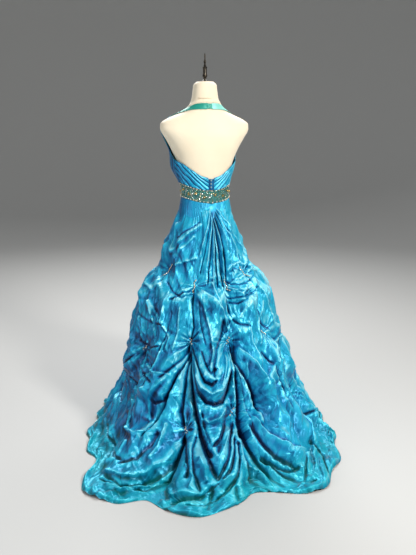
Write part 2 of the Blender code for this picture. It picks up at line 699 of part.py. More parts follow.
form_and_stand()
bodice_back("bodice_back_right", 1)
bodice_back("bodice_back_left", -1)
bodice_front("bodice_front_right", 1)
bodice_front("bodice_front_left", -1)
waistband("waistband_back", -90, 90, 28)
waistband("waistband_front", 90, 270, 20)
neckband("neckband_right", 1)
neckband("neckband_left", -1)
strip_on_back("neck_tab", TAB, "satin")
strip_on_back("back_placket", PLACKET, "taffeta")
buttons()
for panel, start, end, count in SKIRT_PANELS:
    skirt_panel(panel, start, end, count)
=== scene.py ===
# Halter evening gown with a pick-up skirt on a dress form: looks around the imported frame.
# Bearings go round the form in degrees, 0 at the centre back and 90 at the form's right.
import math

import bmesh
import bpy
import numpy as np
from mathutils import Matrix, Vector


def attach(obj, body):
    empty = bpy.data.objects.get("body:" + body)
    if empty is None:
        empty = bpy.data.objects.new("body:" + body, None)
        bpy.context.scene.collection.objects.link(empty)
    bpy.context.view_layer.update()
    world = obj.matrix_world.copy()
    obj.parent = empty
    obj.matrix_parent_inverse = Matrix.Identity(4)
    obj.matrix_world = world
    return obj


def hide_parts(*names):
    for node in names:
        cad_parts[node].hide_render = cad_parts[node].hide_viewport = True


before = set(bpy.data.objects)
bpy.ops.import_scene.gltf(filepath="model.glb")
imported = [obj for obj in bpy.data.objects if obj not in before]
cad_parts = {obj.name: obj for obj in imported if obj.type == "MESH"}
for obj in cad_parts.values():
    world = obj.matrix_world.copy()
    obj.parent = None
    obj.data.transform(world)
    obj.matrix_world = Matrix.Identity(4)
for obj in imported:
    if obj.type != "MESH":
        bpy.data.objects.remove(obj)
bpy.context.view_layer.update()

view = {
    "turn": -20.0,  # bearing of the camera from straight behind
    "aside": 0.0136,
    "distance": 2.9,
    "height": 1.30,
    "pitch": 12.5,
    "lens": 41.4,
    "sensor": 36,
}
studio = {
    "floorColour": (0.44, 0.44, 0.43),
    "floorRoughness": 0.7,
    "floorReach": 5.0,
    "wallFoot": 3.0,  # radius of the curve between floor and wall
    "wallHeight": 6.0,
    "skyColour": (0.80, 0.82, 0.84, 1),
    "skyStrength": 0.46,
    "aim": (0, -0.15, 0.75),
}
lamps = (  # name, place from behind the camera's turn, watts, size, colour
    ("key", (1.7, -2.0, 2.35), 96.0, 0.5, (1.0, 0.97, 0.93)),
    ("fill", (-2.2, -1.8, 1.5), 36.0, 2.0, (0.92, 0.96, 1.0)),
    ("top", (0.4, 0.9, 2.9), 30.0, 0.8, (1.0, 1.0, 1.0)),
    ("front", (-0.5, 2.8, 3.6), 150.0, 1.6, (1.0, 1.0, 1.0)),
)


def turned(x, y, z):
    # A place given straight behind the form, carried round to the camera's side.
    return Matrix.Rotation(math.radians(view["turn"]), 3, "Z") @ Vector((x, y, z))


def addCamera():
    data = bpy.data.cameras.new("camera")
    data.sensor_fit = "VERTICAL"
    data.sensor_height = view["sensor"]
    data.lens = view["lens"]
    camera = bpy.data.objects.new("camera", data)
    place = turned(view["aside"], -view["distance"], view["height"])
    aim = Matrix.Rotation(math.radians(view["turn"]), 4, "Z")
    aim = aim @ Matrix.Rotation(math.radians(90 - view["pitch"]), 4, "X")
    camera.matrix_world = Matrix.Translation(place) @ aim
    bpy.context.scene.collection.objects.link(camera)
    bpy.context.scene.camera = camera


def addLamp(name, place, power, size, colour):
    data = bpy.data.lights.new(name, "AREA")
    data.energy = power
    data.size = size
    data.color = colour
    lamp = bpy.data.objects.new(name, data)
    lamp.location = turned(*place)
    lamp.visible_camera = False
    ahead = Vector(studio["aim"]) - lamp.location
    lamp.rotation_euler = ahead.to_track_quat("-Z", "Y").to_euler()
    bpy.context.scene.collection.objects.link(lamp)


def quadsOf(index):
    # The four corners of each cell in a grid of point numbers.
    return np.stack([index[:-1, :-1], index[:-1, 1:], index[1:, 1:], index[1:, :-1]], -1)


def shaderOf(name, colour, roughness, **sockets):
    # A Principled material; sockets are given with spaces as underscores.
    finish = bpy.data.materials.new(name)
    finish.use_nodes = True
    shader = finish.node_tree.nodes["Principled BSDF"]
    shader.inputs["Base Color"].default_value = (*colour, 1)
    shader.inputs["Roughness"].default_value = roughness
    for socket, value in sockets.items():
        shader.inputs[socket.replace("_", " ")].default_value = value
    return finish, finish.node_tree, shader


def addFloor():
    # A floor that turns up into a round wall: a profile of a line, a quarter circle and a line.
    foot, reach = studio["wallFoot"], studio["floorReach"]
    quarter = np.linspace(0, np.pi / 2, 17)
    out = np.concatenate([[0.02], reach + foot * np.sin(quarter), [reach + foot]])
    up = np.concatenate([[0.0], foot * (1 - np.cos(quarter)), [studio["wallHeight"]]])
    angle = np.linspace(0, 2 * np.pi, 97)
    x, y = out[:, None] * np.sin(angle), -out[:, None] * np.cos(angle)
    points = np.stack([x, y, up[:, None] + 0 * x], -1)
    quads = quadsOf(np.arange(x.size).reshape(x.shape))
    mesh = bpy.data.meshes.new("floor")
    mesh.from_pydata(points.reshape(-1, 3).tolist(), [], quads.reshape(-1, 4).tolist())
    mesh.shade_smooth()
    paint, _, _ = shaderOf("floor", studio["floorColour"], studio["floorRoughness"])
    mesh.materials.append(paint)
    floor = bpy.data.objects.new("floor", mesh)
    bpy.context.scene.collection.objects.link(floor)


def addStudio():
    bpy.context.scene.view_settings.view_transform = "Standard"
    world = bpy.data.worlds.new("studio")
    bpy.context.scene.world = world
    world.use_nodes = True
    sky = world.node_tree.nodes["Background"]
    sky.inputs["Color"].default_value = studio["skyColour"]
    sky.inputs["Strength"].default_value = studio["skyStrength"]
    for lamp in lamps:
        addLamp(*lamp)
    addFloor()


addCamera()
addStudio()
print("camera and studio are in")


def smoothCurve(x, xs, ys):
    # Cubic pieces through the points; the slope is zero at each peak or dip of the points.
    xs, ys = np.asarray(xs, float), np.asarray(ys, float)
    x = np.clip(x, xs[0], xs[-1])
    steps = np.diff(xs)
    slopes = np.diff(ys) / steps
    tangents = np.concatenate([slopes[:1], (slopes[:-1] + slopes[1:]) / 2, slopes[-1:]])
    tangents[np.concatenate([[False], slopes[:-1] * slopes[1:] <= 0, [False]])] = 0.0
    i = np.clip(np.searchsorted(xs, x, side="right") - 1, 0, len(steps) - 1)
    s = (x - xs[i]) / steps[i]
    start = ys[i] * (1 + 2 * s) * (1 - s) ** 2 + tangents[i] * steps[i] * s * (1 - s) ** 2
    end = ys[i + 1] * (3 - 2 * s) * s**2 + tangents[i + 1] * steps[i] * s**2 * (s - 1)
    return start + end


def fromRows(x, rows, key, wanted):
    # A curve through two columns of a table of rows.
    table = np.array(rows, float)
    return smoothCurve(np.asarray(x, float), table[:, key], table[:, wanted])


def ease(x):
    # 0 below 0, 1 above 1, and a smooth S between.
    x = np.clip(x, 0, 1)
    return x * x * (3 - 2 * x)


noiseCells = 97  # lattice cells after which a noise repeats
latticeLean = 0.577


def latticeNoise(x, y, seed, around=noiseCells):
    # Random heights on a unit lattice, joined by S curves, from -1 to 1. It repeats across
    # after this many cells.
    lattice = np.random.default_rng(seed).uniform(-1, 1, (around, noiseCells))
    i, j = np.floor(x).astype(int), np.floor(y).astype(int)
    s, t = ease(x - i), ease(y - j)
    low, high = j % noiseCells, (j + 1) % noiseCells
    a, b = lattice[i % around, low], lattice[(i + 1) % around, low]
    c, d = lattice[i % around, high], lattice[(i + 1) % around, high]
    return (a * (1 - s) + b * s) * (1 - t) + (c * (1 - s) + d * s) * t


def facetNoise(x, y, seed):
    # Random heights on a lattice of triangles, joined by flat facets; from -1 to 1.
    lattice = np.random.default_rng(seed).uniform(-1, 1, (noiseCells, noiseCells))
    x = x + latticeLean * y
    i, j = np.floor(x).astype(int), np.floor(y).astype(int)
    s, t = x - i, y - j
    near, far = i % noiseCells, (i + 1) % noiseCells
    low, high = j % noiseCells, (j + 1) % noiseCells
    a, b, c, d = lattice[near, low], lattice[far, low], lattice[near, high], lattice[far, high]
    return np.where(
        s + t < 1, a + (b - a) * s + (c - a) * t, d + (c - d) * (1 - s) + (b - d) * (1 - t)
    )


def crumple(u, v, size, height, seed):
    # Flat crisp facets of about this size in metres, bent out of their lattice by soft noise.
    x, y = u / size, v / size
    bentX = x + 0.9 * latticeNoise(x * 0.6, y * 0.6, seed + 1)
    bentY = y + 0.9 * latticeNoise(x * 0.6, y * 0.6, seed + 2)
    return height * facetNoise(bentX, bentY, seed)


def ridged(noise):
    # Sharp ridges where the noise passes zero, round valleys between; its mean is near zero.
    return 0.55 - 1.6 * np.abs(noise)


def blurred(values, reach, axis):
    # Mean over a window of 2 * reach + 1 places, with the ends repeated.
    pad = [(0, 0), (0, 0)]
    pad[axis] = (reach + 1, reach)
    total = np.cumsum(np.pad(values, pad, mode="edge"), axis=axis)
    size = values.shape[axis]
    high = np.take(total, np.arange(size) + 2 * reach + 1, axis=axis)
    low = np.take(total, np.arange(size), axis=axis)
    return (high - low) / (2 * reach + 1)


def wrapped(bearing):
    return (bearing + 180.0) % 360.0 - 180.0


def normalsOf(points):
    # Unit normals of a grid of points, by central differences; rows go up and columns go round.
    normal = np.cross(np.gradient(points, axis=1), np.gradient(points, axis=0))
    return normal / np.maximum(np.linalg.norm(normal, axis=-1, keepdims=True), 1e-12)


def movedOut(surface, u, v, distance, du, dv):
    # The surface's points plus its unit normal times a distance.
    along = surface(u + du, v) - surface(u - du, v)
    up = surface(u, v + dv) - surface(u, v - dv)
    normal = np.cross(along, up)
    normal /= np.linalg.norm(normal, axis=-1, keepdims=True)
    return surface(u, v) + normal * np.asarray(distance)[..., None]


def lengthsOf(points, axis):
    # Running length in metres along an axis of a grid of points.
    step = np.linalg.norm(np.diff(points, axis=axis), axis=-1)
    pad = [(0, 0), (0, 0)]
    pad[axis] = (1, 0)
    return np.pad(np.cumsum(step, axis=axis), pad)


def metresOf(points):
    # Lengths along both axes of a grid of points, which its UV map takes.
    return np.stack([lengthsOf(points, 1), lengthsOf(points, 0)], -1)


def areaOf(points):
    # Square metres of a grid of points, from the cross product of each quad's diagonals.
    first = points[1:, 1:] - points[:-1, :-1]
    second = points[1:, :-1] - points[:-1, 1:]
    return float(np.linalg.norm(np.cross(first, second), axis=-1).sum() / 2)


def meshPiece(name, points, faces, finish, uv=None):
    # A smooth mesh from points and faces; each item of faces is one face or a table of them.
    faces = [np.atleast_2d(table) for table in faces]
    loops = np.concatenate([table.reshape(-1) for table in faces])
    sizes = np.concatenate([np.full(len(table), table.shape[1]) for table in faces])
    mesh = bpy.data.meshes.new(name)
    mesh.vertices.add(points.size // 3)
    mesh.vertices.foreach_set("co", points.reshape(-1).astype(np.float32))
    mesh.loops.add(len(loops))
    mesh.loops.foreach_set("vertex_index", loops.astype(np.int32))
    mesh.polygons.add(len(sizes))
    starts = np.concatenate([[0], np.cumsum(sizes)[:-1]])
    mesh.polygons.foreach_set("loop_start", starts.astype(np.int32))
    if uv is not None:
        layer = mesh.uv_layers.new(name="UVMap")
        layer.data.foreach_set("uv", uv.reshape(-1, 2)[loops].reshape(-1).astype(np.float32))
    mesh.update(calc_edges=True)
    mesh.validate()
    mesh.shade_smooth()
    mesh.materials.append(finish)
    piece = bpy.data.objects.new(name, mesh)
    bpy.context.scene.collection.objects.link(piece)
    return piece


def gridPiece(name, points, uv, finish, wrap=False, closeEnds=False):
    # A surface piece from a grid of points, rows from low to high, columns round by bearing.
    index = np.arange(points.size // 3).reshape(points.shape[:2])
    caps = [index[0, ::-1], index[-1]] if closeEnds else []
    if wrap:
        index = np.concatenate([index, index[:, :1]], axis=1)
    return meshPiece(name, points, [quadsOf(index).reshape(-1, 4), *caps], finish, uv)


def setLayer(piece, name, values):
    # One number for each of the piece's points, which its material reads by this name.
    layer = piece.data.attributes.new(name, "FLOAT", "POINT")
    layer.data.foreach_set("value", values.reshape(-1).astype(np.float32))


def onRoot(piece, node=None):
    # The piece rides on the only body, and stands for a CAD node where one is named.
    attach(piece, "root")
    if node:
        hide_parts(node)


def addNode(tree, kind, **values):
    # Settings and sockets are given by name, and a socket may be given another node's output.
    node = tree.nodes.new(kind)
    for key, value in values.items():
        name = key.replace("_", " ")
        if name not in node.inputs:
            setattr(node, key, value)
        elif isinstance(value, bpy.types.NodeSocket):
            tree.links.new(value, node.inputs[name])
        else:
            node.inputs[name].default_value = value
    return node


def metreCoordinates(tree, source, scale):
    # Texture coordinates from the piece's UV map or its own place, times a scale for each axis.
    place = addNode(tree, "ShaderNodeTexCoord").outputs[source]
    return addNode(tree, "ShaderNodeMapping", Vector=place, Scale=scale).outputs["Vector"]


def noiseOf(tree, source, scale, **values):
    place = metreCoordinates(tree, source, scale)
    return addNode(tree, "ShaderNodeTexNoise", Vector=place, **values).outputs["Fac"]


def rampOf(tree, factor, *stops):
    # A colour ramp over an output, from positions and colours in their order.
    ramp = addNode(tree, "ShaderNodeValToRGB", Fac=factor)
    elements = ramp.color_ramp.elements
    for element, (position, colour) in zip(elements, (stops[0], stops[-1])):
        element.position, element.color = position, (*colour, 1)
    for position, colour in stops[1:-1]:
        elements.new(position).color = (*colour, 1)
    return ramp.outputs["Color"]


def bumpFrom(tree, shader, heights, strength, distance):
    # Adds the heights as a bump, on top of any bump that is there already.
    bump = addNode(
        tree, "ShaderNodeBump", Strength=strength, Distance=distance, Height=heights
    )
    if shader.inputs["Normal"].is_linked:
        tree.links.new(shader.inputs["Normal"].links[0].from_socket, bump.inputs["Normal"])
    tree.links.new(bump.outputs["Normal"], shader.inputs["Normal"])


everyAxis = (1, 1, 1)
taffetaLook = {
    "colours": (  # place on the scale from painted shade to painted highlight on the blue cloth, colour
        (0.10, (0.000, 0.008, 0.045)), (0.30, (0.000, 0.080, 0.230)),
        (0.52, (0.000, 0.215, 0.430)), (0.76, (0.010, 0.400, 0.600)),
        (1.00, (0.240, 0.680, 0.800)),
    ),
    "green": (0.000, 0.380, 0.320, 1),
    "greenHeights": (0.10, -0.03),
    # from the first height down to the second the colour takes more and more painted shade near
    # the floor
    "paintedShadeHeights": (0.55, 0.0),
    "roughness": 0.40,
    "slubs": (35.0, 900.0, 1.0),
    "streaks": (70.0, 12.0, 1.0),
    "creases": (34.0, 16.0, 1.0),
    "facets": ((26.0, 9.0, 0.44), (60.0, 24.0, 0.40)),  # across and along a metre, tilt
    "towards": (0.42, -0.28, 0.86),  # the side of the painted light: cloth facing it is painted paler
    "start": 0.34,
    # facing paints light, the relief layer paints shade in hollows and highlight on ridges, low
    # paints shade near the floor; slubs, streaks and patches are the cloth's own tone
    "weights": {
        "facing": 0.38, "paintedShading": -0.38, "slubs": 0.12, "streaks": 0.09, "patches": 0.11,
        "low": -0.25,
    },
}


def tiltedFacets(tree, normal):
    # The normal plus, for each size of facet, the cell's own random tilt times the crush there.
    crush = addNode(tree, "ShaderNodeAttribute", attribute_name="crush").outputs["Fac"]
    for across, along, amount in taffetaLook["facets"]:
        place = metreCoordinates(tree, "UV", (across, along, 1.0))
        bent = addNode(tree, "ShaderNodeTexNoise", Vector=place, Scale=0.8, Detail=1.0)
        moved = addNode(tree, "ShaderNodeVectorMath", operation="MULTIPLY_ADD")
        tree.links.new(bent.outputs["Color"], moved.inputs[0])
        moved.inputs[1].default_value = (1.6, 1.6, 0.0)
        tree.links.new(place, moved.inputs[2])
        cell = addNode(
            tree, "ShaderNodeTexVoronoi", Vector=moved.outputs["Vector"], Scale=1.0
        )
        centred = addNode(tree, "ShaderNodeVectorMath", operation="SUBTRACT")
        tree.links.new(cell.outputs["Color"], centred.inputs[0])
        centred.inputs[1].default_value = (0.5, 0.5, 0.5)
        weight = addNode(tree, "ShaderNodeMath", operation="MULTIPLY")
        tree.links.new(crush, weight.inputs[0])
        weight.inputs[1].default_value = amount
        tilt = addNode(
            tree, "ShaderNodeVectorMath", operation="SCALE", Vector=centred.outputs["Vector"],
            Scale=weight.outputs["Value"],
        )
        tilted = addNode(tree, "ShaderNodeVectorMath", operation="ADD")
        tree.links.new(normal, tilted.inputs[0])
        tree.links.new(tilt.outputs["Vector"], tilted.inputs[1])
        normal = tilted.outputs["Vector"]
    unit = addNode(tree, "ShaderNodeVectorMath", operation="NORMALIZE", Vector=normal)
    return unit.outputs["Vector"]


def lowerThan(tree, height, heights):
    # 0 at the first of two heights over the floor and 1 at the second.
    top, bottom = heights
    share = addNode(tree, "ShaderNodeMapRange", From_Min=top, From_Max=bottom, Value=height)
    return share.outputs["Result"]


def makeTaffeta():
    # Shot taffeta. Its colour goes from navy to pale cyan with a weighed sum of painted light
    # where the cloth faces one fixed side, painted shade in hollows and near the floor, slubs,
    # streaks and patches.
    finish, tree, shader = shaderOf(
        "taffeta", (0, 0.2, 0.4), taffetaLook["roughness"], Metallic=0.25, Sheen_Weight=0.08,
        Sheen_Roughness=0.35, Specular_IOR_Level=0.35,
    )
    unit = tiltedFacets(tree, addNode(tree, "ShaderNodeNewGeometry").outputs["Normal"])
    # Painted light: the more the tilted normal faces the fixed side, the paler the colour.
    facing = addNode(tree, "ShaderNodeVectorMath", operation="DOT_PRODUCT")
    tree.links.new(unit, facing.inputs[0])
    facing.inputs[1].default_value = taffetaLook["towards"]
    place = addNode(tree, "ShaderNodeTexCoord").outputs["Object"]
    height = addNode(tree, "ShaderNodeSeparateXYZ", Vector=place).outputs["Z"]
    fine = {"Scale": 1.0, "Roughness": 0.6}
    parts = {
        "facing": facing.outputs["Value"],
        # painted shade in hollows and painted highlight on ridges, from the points' own layer
        "paintedShading": addNode(tree, "ShaderNodeAttribute", attribute_name="paintedShading").outputs["Fac"],
        "slubs": noiseOf(tree, "UV", taffetaLook["slubs"], Detail=3.0, **fine),
        "streaks": noiseOf(tree, "UV", taffetaLook["streaks"], Detail=4.0, **fine),
        "patches": noiseOf(tree, "Object", everyAxis, Scale=7.0, Detail=4.0, Roughness=0.6),
        # painted shade that deepens towards the floor
        "low": lowerThan(tree, height, taffetaLook["paintedShadeHeights"]),
    }
    total = taffetaLook["start"]
    for name, weight in taffetaLook["weights"].items():
        node = addNode(tree, "ShaderNodeMath", operation="MULTIPLY_ADD")
        tree.links.new(parts[name], node.inputs[0])
        node.inputs[1].default_value = weight
        if name == "facing":
            node.inputs[2].default_value = total
        else:
            tree.links.new(total, node.inputs[2])
        total = node.outputs["Value"]
    greener = addNode(tree, "ShaderNodeMath", operation="MULTIPLY")
    tree.links.new(lowerThan(tree, height, taffetaLook["greenHeights"]), greener.inputs[0])
    tree.links.new(parts["patches"], greener.inputs[1])
    tint = addNode(
        tree, "ShaderNodeMix", data_type="RGBA", Factor=greener.outputs["Value"],
        A=rampOf(tree, total, *taffetaLook["colours"]), B=taffetaLook["green"],
    )
    tree.links.new(tint.outputs["Result"], shader.inputs["Base Color"])
    tree.links.new(unit, shader.inputs["Normal"])
    creased = noiseOf(
        tree, "UV", taffetaLook["creases"], noise_type="RIDGED_MULTIFRACTAL", Scale=1.0,
        Detail=3.0, Roughness=0.55, Distortion=0.6,
    )
    bumpFrom(tree, shader, creased, 0.7, 0.0045)
    bumpFrom(tree, shader, parts["slubs"], 0.12, 0.0004)
    return finish


def makeSatin(name, colour):
    finish, tree, shader = shaderOf(
        name, colour, 0.48, Metallic=0.15, Sheen_Weight=0.1, Sheen_Roughness=0.3,
        Specular_IOR_Level=0.4,
    )
    threads = noiseOf(tree, "UV", (60.0, 1400.0, 1.0), Scale=1.0, Detail=2.0)
    bumpFrom(tree, shader, threads, 0.2, 0.0003)
    return finish


def makeNet():
    # Teal net over taffeta: a fine grid of holes that shows a darker ground.
    finish, tree, shader = shaderOf("net", (0.01, 0.10, 0.10), 0.6, Metallic=0.2)
    place = metreCoordinates(tree, "UV", (520.0, 520.0, 1.0))
    cells = addNode(tree, "ShaderNodeTexVoronoi", Vector=place, Scale=1.0).outputs["Distance"]
    colour = rampOf(tree, cells, (0.25, (0.001, 0.035, 0.050)), (0.60, (0.006, 0.150, 0.135)))
    tree.links.new(colour, shader.inputs["Base Color"])
    bumpFrom(tree, shader, cells, 0.4, 0.0005)
    return finish


def makeJersey():
    # Ivory stretched jersey: a fine knit, with faint uneven tone.
    finish, tree, shader = shaderOf("jersey", (0.76, 0.66, 0.49), 0.78, Sheen_Weight=0.25)
    tone = noiseOf(tree, "Object", everyAxis, Scale=9.0, Detail=4.0)
    colour = rampOf(tree, tone, (0, (0.74, 0.62, 0.45)), (1, (0.82, 0.73, 0.56)))
    tree.links.new(colour, shader.inputs["Base Color"])
    knit = noiseOf(tree, "Object", (1, 1, 0.4), Scale=1100.0, Detail=1.0)
    bumpFrom(tree, shader, knit, 0.25, 0.0004)
    return finish


def makeBronze():
    finish, tree, shader = shaderOf("bronze", (0.028, 0.024, 0.020), 0.32, Metallic=0.85)
    wear = noiseOf(tree, "Object", everyAxis, Scale=90.0, Detail=4.0)
    colour = rampOf(tree, wear, (0.35, (0.012, 0.011, 0.010)), (0.80, (0.085, 0.070, 0.050)))
    tree.links.new(colour, shader.inputs["Base Color"])
    bumpFrom(tree, shader, wear, 0.15, 0.0005)
    return finish


def makeBead(name, colour, roughness, **sockets):
    # A bead's finish, from 0.7 to 1.15 times its colour in small soft patches.
    finish, tree, shader = shaderOf(name, colour, roughness, **sockets)
    tone = noiseOf(tree, "Object", everyAxis, Scale=260.0, Detail=2.0)
    dark = [share * 0.7 for share in colour]
    light = [min(1, share * 1.15) for share in colour]
    tree.links.new(rampOf(tree, tone, (0, dark), (1, light)), shader.inputs["Base Color"])
    return finish


taffeta = makeTaffeta()
satin = makeSatin("satin", (0.010, 0.260, 0.200))
# A paler copy of the satin for the right neckband: painted light from the key lamp's side.
satinPaintedLit = makeSatin("satinPaintedLit", (0.230, 0.620, 0.540))
net = makeNet()
jersey = makeJersey()
bronze = makeBronze()
goldBead = makeBead("goldBead", (0.62, 0.42, 0.14), 0.22, Metallic=1.0)
silverBead = makeBead("silverBead", (0.66, 0.68, 0.66), 0.16, Metallic=1.0)
pearlBead = makeBead("pearlBead", (0.72, 0.66, 0.52), 0.25, Coat_Weight=0.6, Metallic=0.1)
buttonPearl = makeBead("buttonPearl", (0.22, 0.34, 0.36), 0.30, Coat_Weight=0.5)
tealBead = makeBead("tealBead", (0.03, 0.38, 0.36), 0.12, Metallic=0.4, Coat_Weight=0.7)
print("materials are made")

clothGap = 0.0022  # from the form to the cloth's inside
clothWall = 0.0018
seamGap = 0.0003
formLook = {"columns": 120, "rows": 200, "ringPower": 2.3, "edge": 0.0003, "topShare": 0.985}
formSections = (  # height, half width, front, back
    (0.820, 0.112, 0.082, 0.084), (0.835, 0.124, 0.092, 0.094), (0.900, 0.126, 0.095, 0.096),
    (0.960, 0.119, 0.092, 0.090), (1.010, 0.110, 0.087, 0.082), (1.050, 0.102, 0.080, 0.074),
    (1.100, 0.106, 0.083, 0.075), (1.150, 0.117, 0.090, 0.080), (1.200, 0.131, 0.098, 0.087),
    (1.250, 0.155, 0.098, 0.092), (1.290, 0.180, 0.090, 0.092), (1.325, 0.202, 0.080, 0.086),
    (1.350, 0.203, 0.072, 0.078), (1.370, 0.180, 0.067, 0.071), (1.385, 0.146, 0.064, 0.067),
    (1.400, 0.110, 0.061, 0.064), (1.415, 0.085, 0.059, 0.061), (1.435, 0.068, 0.057, 0.058),
    (1.460, 0.058, 0.054, 0.055), (1.500, 0.052, 0.050, 0.051), (1.520, 0.048, 0.046, 0.047),
    (1.530, 0.037, 0.035, 0.036),
)
bust = {"height": 1.192, "apart": 0.094, "wide": 0.060, "tall": 0.062, "fullness": 0.054}
finial = {
    "columns": 40,
    "rings": 110,
    "foot": 1.5303,
    "profile": (  # above the neck, radius
        (0.000, 0.0140), (0.004, 0.0130), (0.010, 0.0065), (0.018, 0.0070), (0.024, 0.0110),
        (0.030, 0.0095), (0.054, 0.0085), (0.060, 0.0100), (0.066, 0.0062), (0.076, 0.0040),
        (0.084, 0.0056), (0.094, 0.0026), (0.108, 0.0030), (0.120, 0.0008),
    ),
}


def formSurface(bearing, height):
    # Rings a little squarer than ellipses, with two soft mounds in front for the bust.
    bearing, height = np.broadcast_arrays(np.asarray(bearing, float), np.asarray(height, float))
    angle, power = np.radians(bearing), 2 / formLook["ringPower"]
    cosine, sine = np.cos(angle), np.sin(angle)
    cosine = np.sign(cosine) * np.abs(cosine) ** power
    sine = np.sign(sine) * np.abs(sine) ** power
    halfWidth, front, back = (fromRows(height, formSections, 0, n) for n in (1, 2, 3))
    x = halfWidth * sine
    y = -np.where(cosine > 0, back, front) * cosine
    beside = (np.abs(x) - bust["apart"]) / bust["wide"]
    above = (height - bust["height"]) / bust["tall"]
    mound = np.clip(y / 0.05, 0, 1) * np.exp(-(beside**2) - above**2)
    return np.stack([x, y + bust["fullness"] * mound, height], axis=-1)


def onForm(bearing, height, distance):
    bearing, height, distance = np.broadcast_arrays(bearing, height, distance)
    return movedOut(formSurface, bearing, height, distance, 0.5, 0.001)


def makeForm():
    # Rings from the cut waist to the neck's top, drawn in a little at both of their ends.
    low, top = formSections[0][0], formSections[-1][0]
    between = np.linspace(low + formLook["edge"], top - formLook["edge"], formLook["rows"])
    heights = np.concatenate([[low], between, [top]])
    bearings = np.arange(formLook["columns"]) * 360 / formLook["columns"]
    points = formSurface(bearings[None, :], heights[:, None])
    cap = points[-1:] * (formLook["topShare"], formLook["topShare"], 1)
    points = np.concatenate([points, cap])
    body = gridPiece("dressFormBody", points, None, jersey, wrap=True, closeEnds=True)
    onRoot(body, "dress_form")


def makeFinial():
    # A turned profile, smoothed between its rows and carried round the axis.
    rows = np.array(finial["profile"])
    above = np.linspace(0, rows[-1, 0], finial["rings"])
    above = np.unique(np.concatenate([above, rows[:, 0]]))
    radius = smoothCurve(above, rows[:, 0], rows[:, 1])
    angle = np.arange(finial["columns"]) * 2 * np.pi / finial["columns"]
    x = radius[:, None] * np.sin(angle)
    y = -radius[:, None] * np.cos(angle)
    z = finial["foot"] + above[:, None] + 0 * x
    piece = gridPiece("finialTurned", np.stack([x, y, z], -1), None, bronze, True, True)
    onRoot(piece, "finial")


def paintNodes(nodes, finish):
    # CAD nodes that stay as they are take a finish.
    for node in nodes:
        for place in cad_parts[node].material_slots:
            place.material = finish


makeForm()
makeFinial()
paintNodes(("pole", "base", "base_collar"), bronze)
print("dress form and stand are dressed")

trainBearing = -20.0
bandEdges = (  # bearing, lower, upper
    (0, 1.008, 1.064), (30, 1.017, 1.074), (60, 1.027, 1.088), (90, 1.033, 1.097),
    (140, 1.036, 1.100), (180, 1.034, 1.104),
)
skirtSections = (  # share, height, left, right, back, front
    (0.000, 1.020, 0.108, 0.108, 0.084, 0.088), (0.055, 0.945, 0.134, 0.128, 0.118, 0.112),
    (0.110, 0.870, 0.160, 0.154, 0.160, 0.142), (0.170, 0.790, 0.190, 0.182, 0.204, 0.175),
    (0.215, 0.735, 0.212, 0.210, 0.240, 0.200), (0.265, 0.680, 0.254, 0.250, 0.288, 0.240),
    (0.330, 0.600, 0.292, 0.293, 0.330, 0.278), (0.405, 0.500, 0.336, 0.332, 0.382, 0.315),
    (0.475, 0.410, 0.351, 0.358, 0.428, 0.340), (0.540, 0.330, 0.358, 0.380, 0.470, 0.352),
    (0.610, 0.250, 0.354, 0.405, 0.528, 0.378), (0.685, 0.170, 0.390, 0.438, 0.590, 0.398),
    (0.765, 0.090, 0.430, 0.474, 0.652, 0.412), (0.840, 0.030, 0.462, 0.502, 0.716, 0.418),
    (0.900, 0.004, 0.474, 0.508, 0.770, 0.422), (1.000, 0.002, 0.490, 0.515, 0.860, 0.450),
)
hemOutline = (  # bearing from the train's middle, reach
    (-180, 0.465), (-135, 0.475), (-90, 0.502), (-75, 0.525), (-62, 0.592), (-50, 0.645),
    (-40, 0.700), (-36, 0.790), (-32, 0.860), (-22, 0.886), (-15, 0.828), (-9, 0.880),
    (-2, 0.906), (5, 0.866), (10, 0.822), (15, 0.755), (21, 0.806), (28, 0.852), (33, 0.846),
    (39, 0.798), (46, 0.757), (55, 0.692), (62, 0.652), (77, 0.566), (90, 0.528), (135, 0.485),
    (180, 0.465),
)
pickups = (  # bearing from the train's middle, height, depth, wide, tall
    (-48, 0.730, 0.022, 0.034, 0.045), (-10, 0.690, 0.026, 0.036, 0.050),
    (22, 0.690, 0.026, 0.036, 0.050), (52, 0.720, 0.022, 0.034, 0.045),
    (90, 0.725, 0.022, 0.036, 0.045), (130, 0.725, 0.022, 0.036, 0.045),
    (172, 0.725, 0.022, 0.036, 0.045), (-148, 0.725, 0.022, 0.036, 0.045),
    (-95, 0.725, 0.022, 0.036, 0.045), (-47, 0.405, 0.028, 0.044, 0.060),
    (-10, 0.480, 0.034, 0.046, 0.075), (17, 0.480, 0.034, 0.044, 0.075),
    (48, 0.470, 0.028, 0.044, 0.060), (82, 0.420, 0.026, 0.046, 0.060),
    (122, 0.420, 0.026, 0.046, 0.060), (165, 0.420, 0.026, 0.046, 0.060),
    (-150, 0.420, 0.026, 0.046, 0.060), (-102, 0.420, 0.026, 0.046, 0.060),
    (-9, 0.190, 0.040, 0.060, 0.070), (14, 0.235, 0.040, 0.056, 0.080),
    (60, 0.200, 0.026, 0.056, 0.060), (102, 0.190, 0.026, 0.056, 0.060),
    (145, 0.190, 0.026, 0.056, 0.060), (-172, 0.190, 0.026, 0.056, 0.060),
    (-125, 0.190, 0.026, 0.056, 0.060), (-72, 0.180, 0.026, 0.056, 0.060),
)
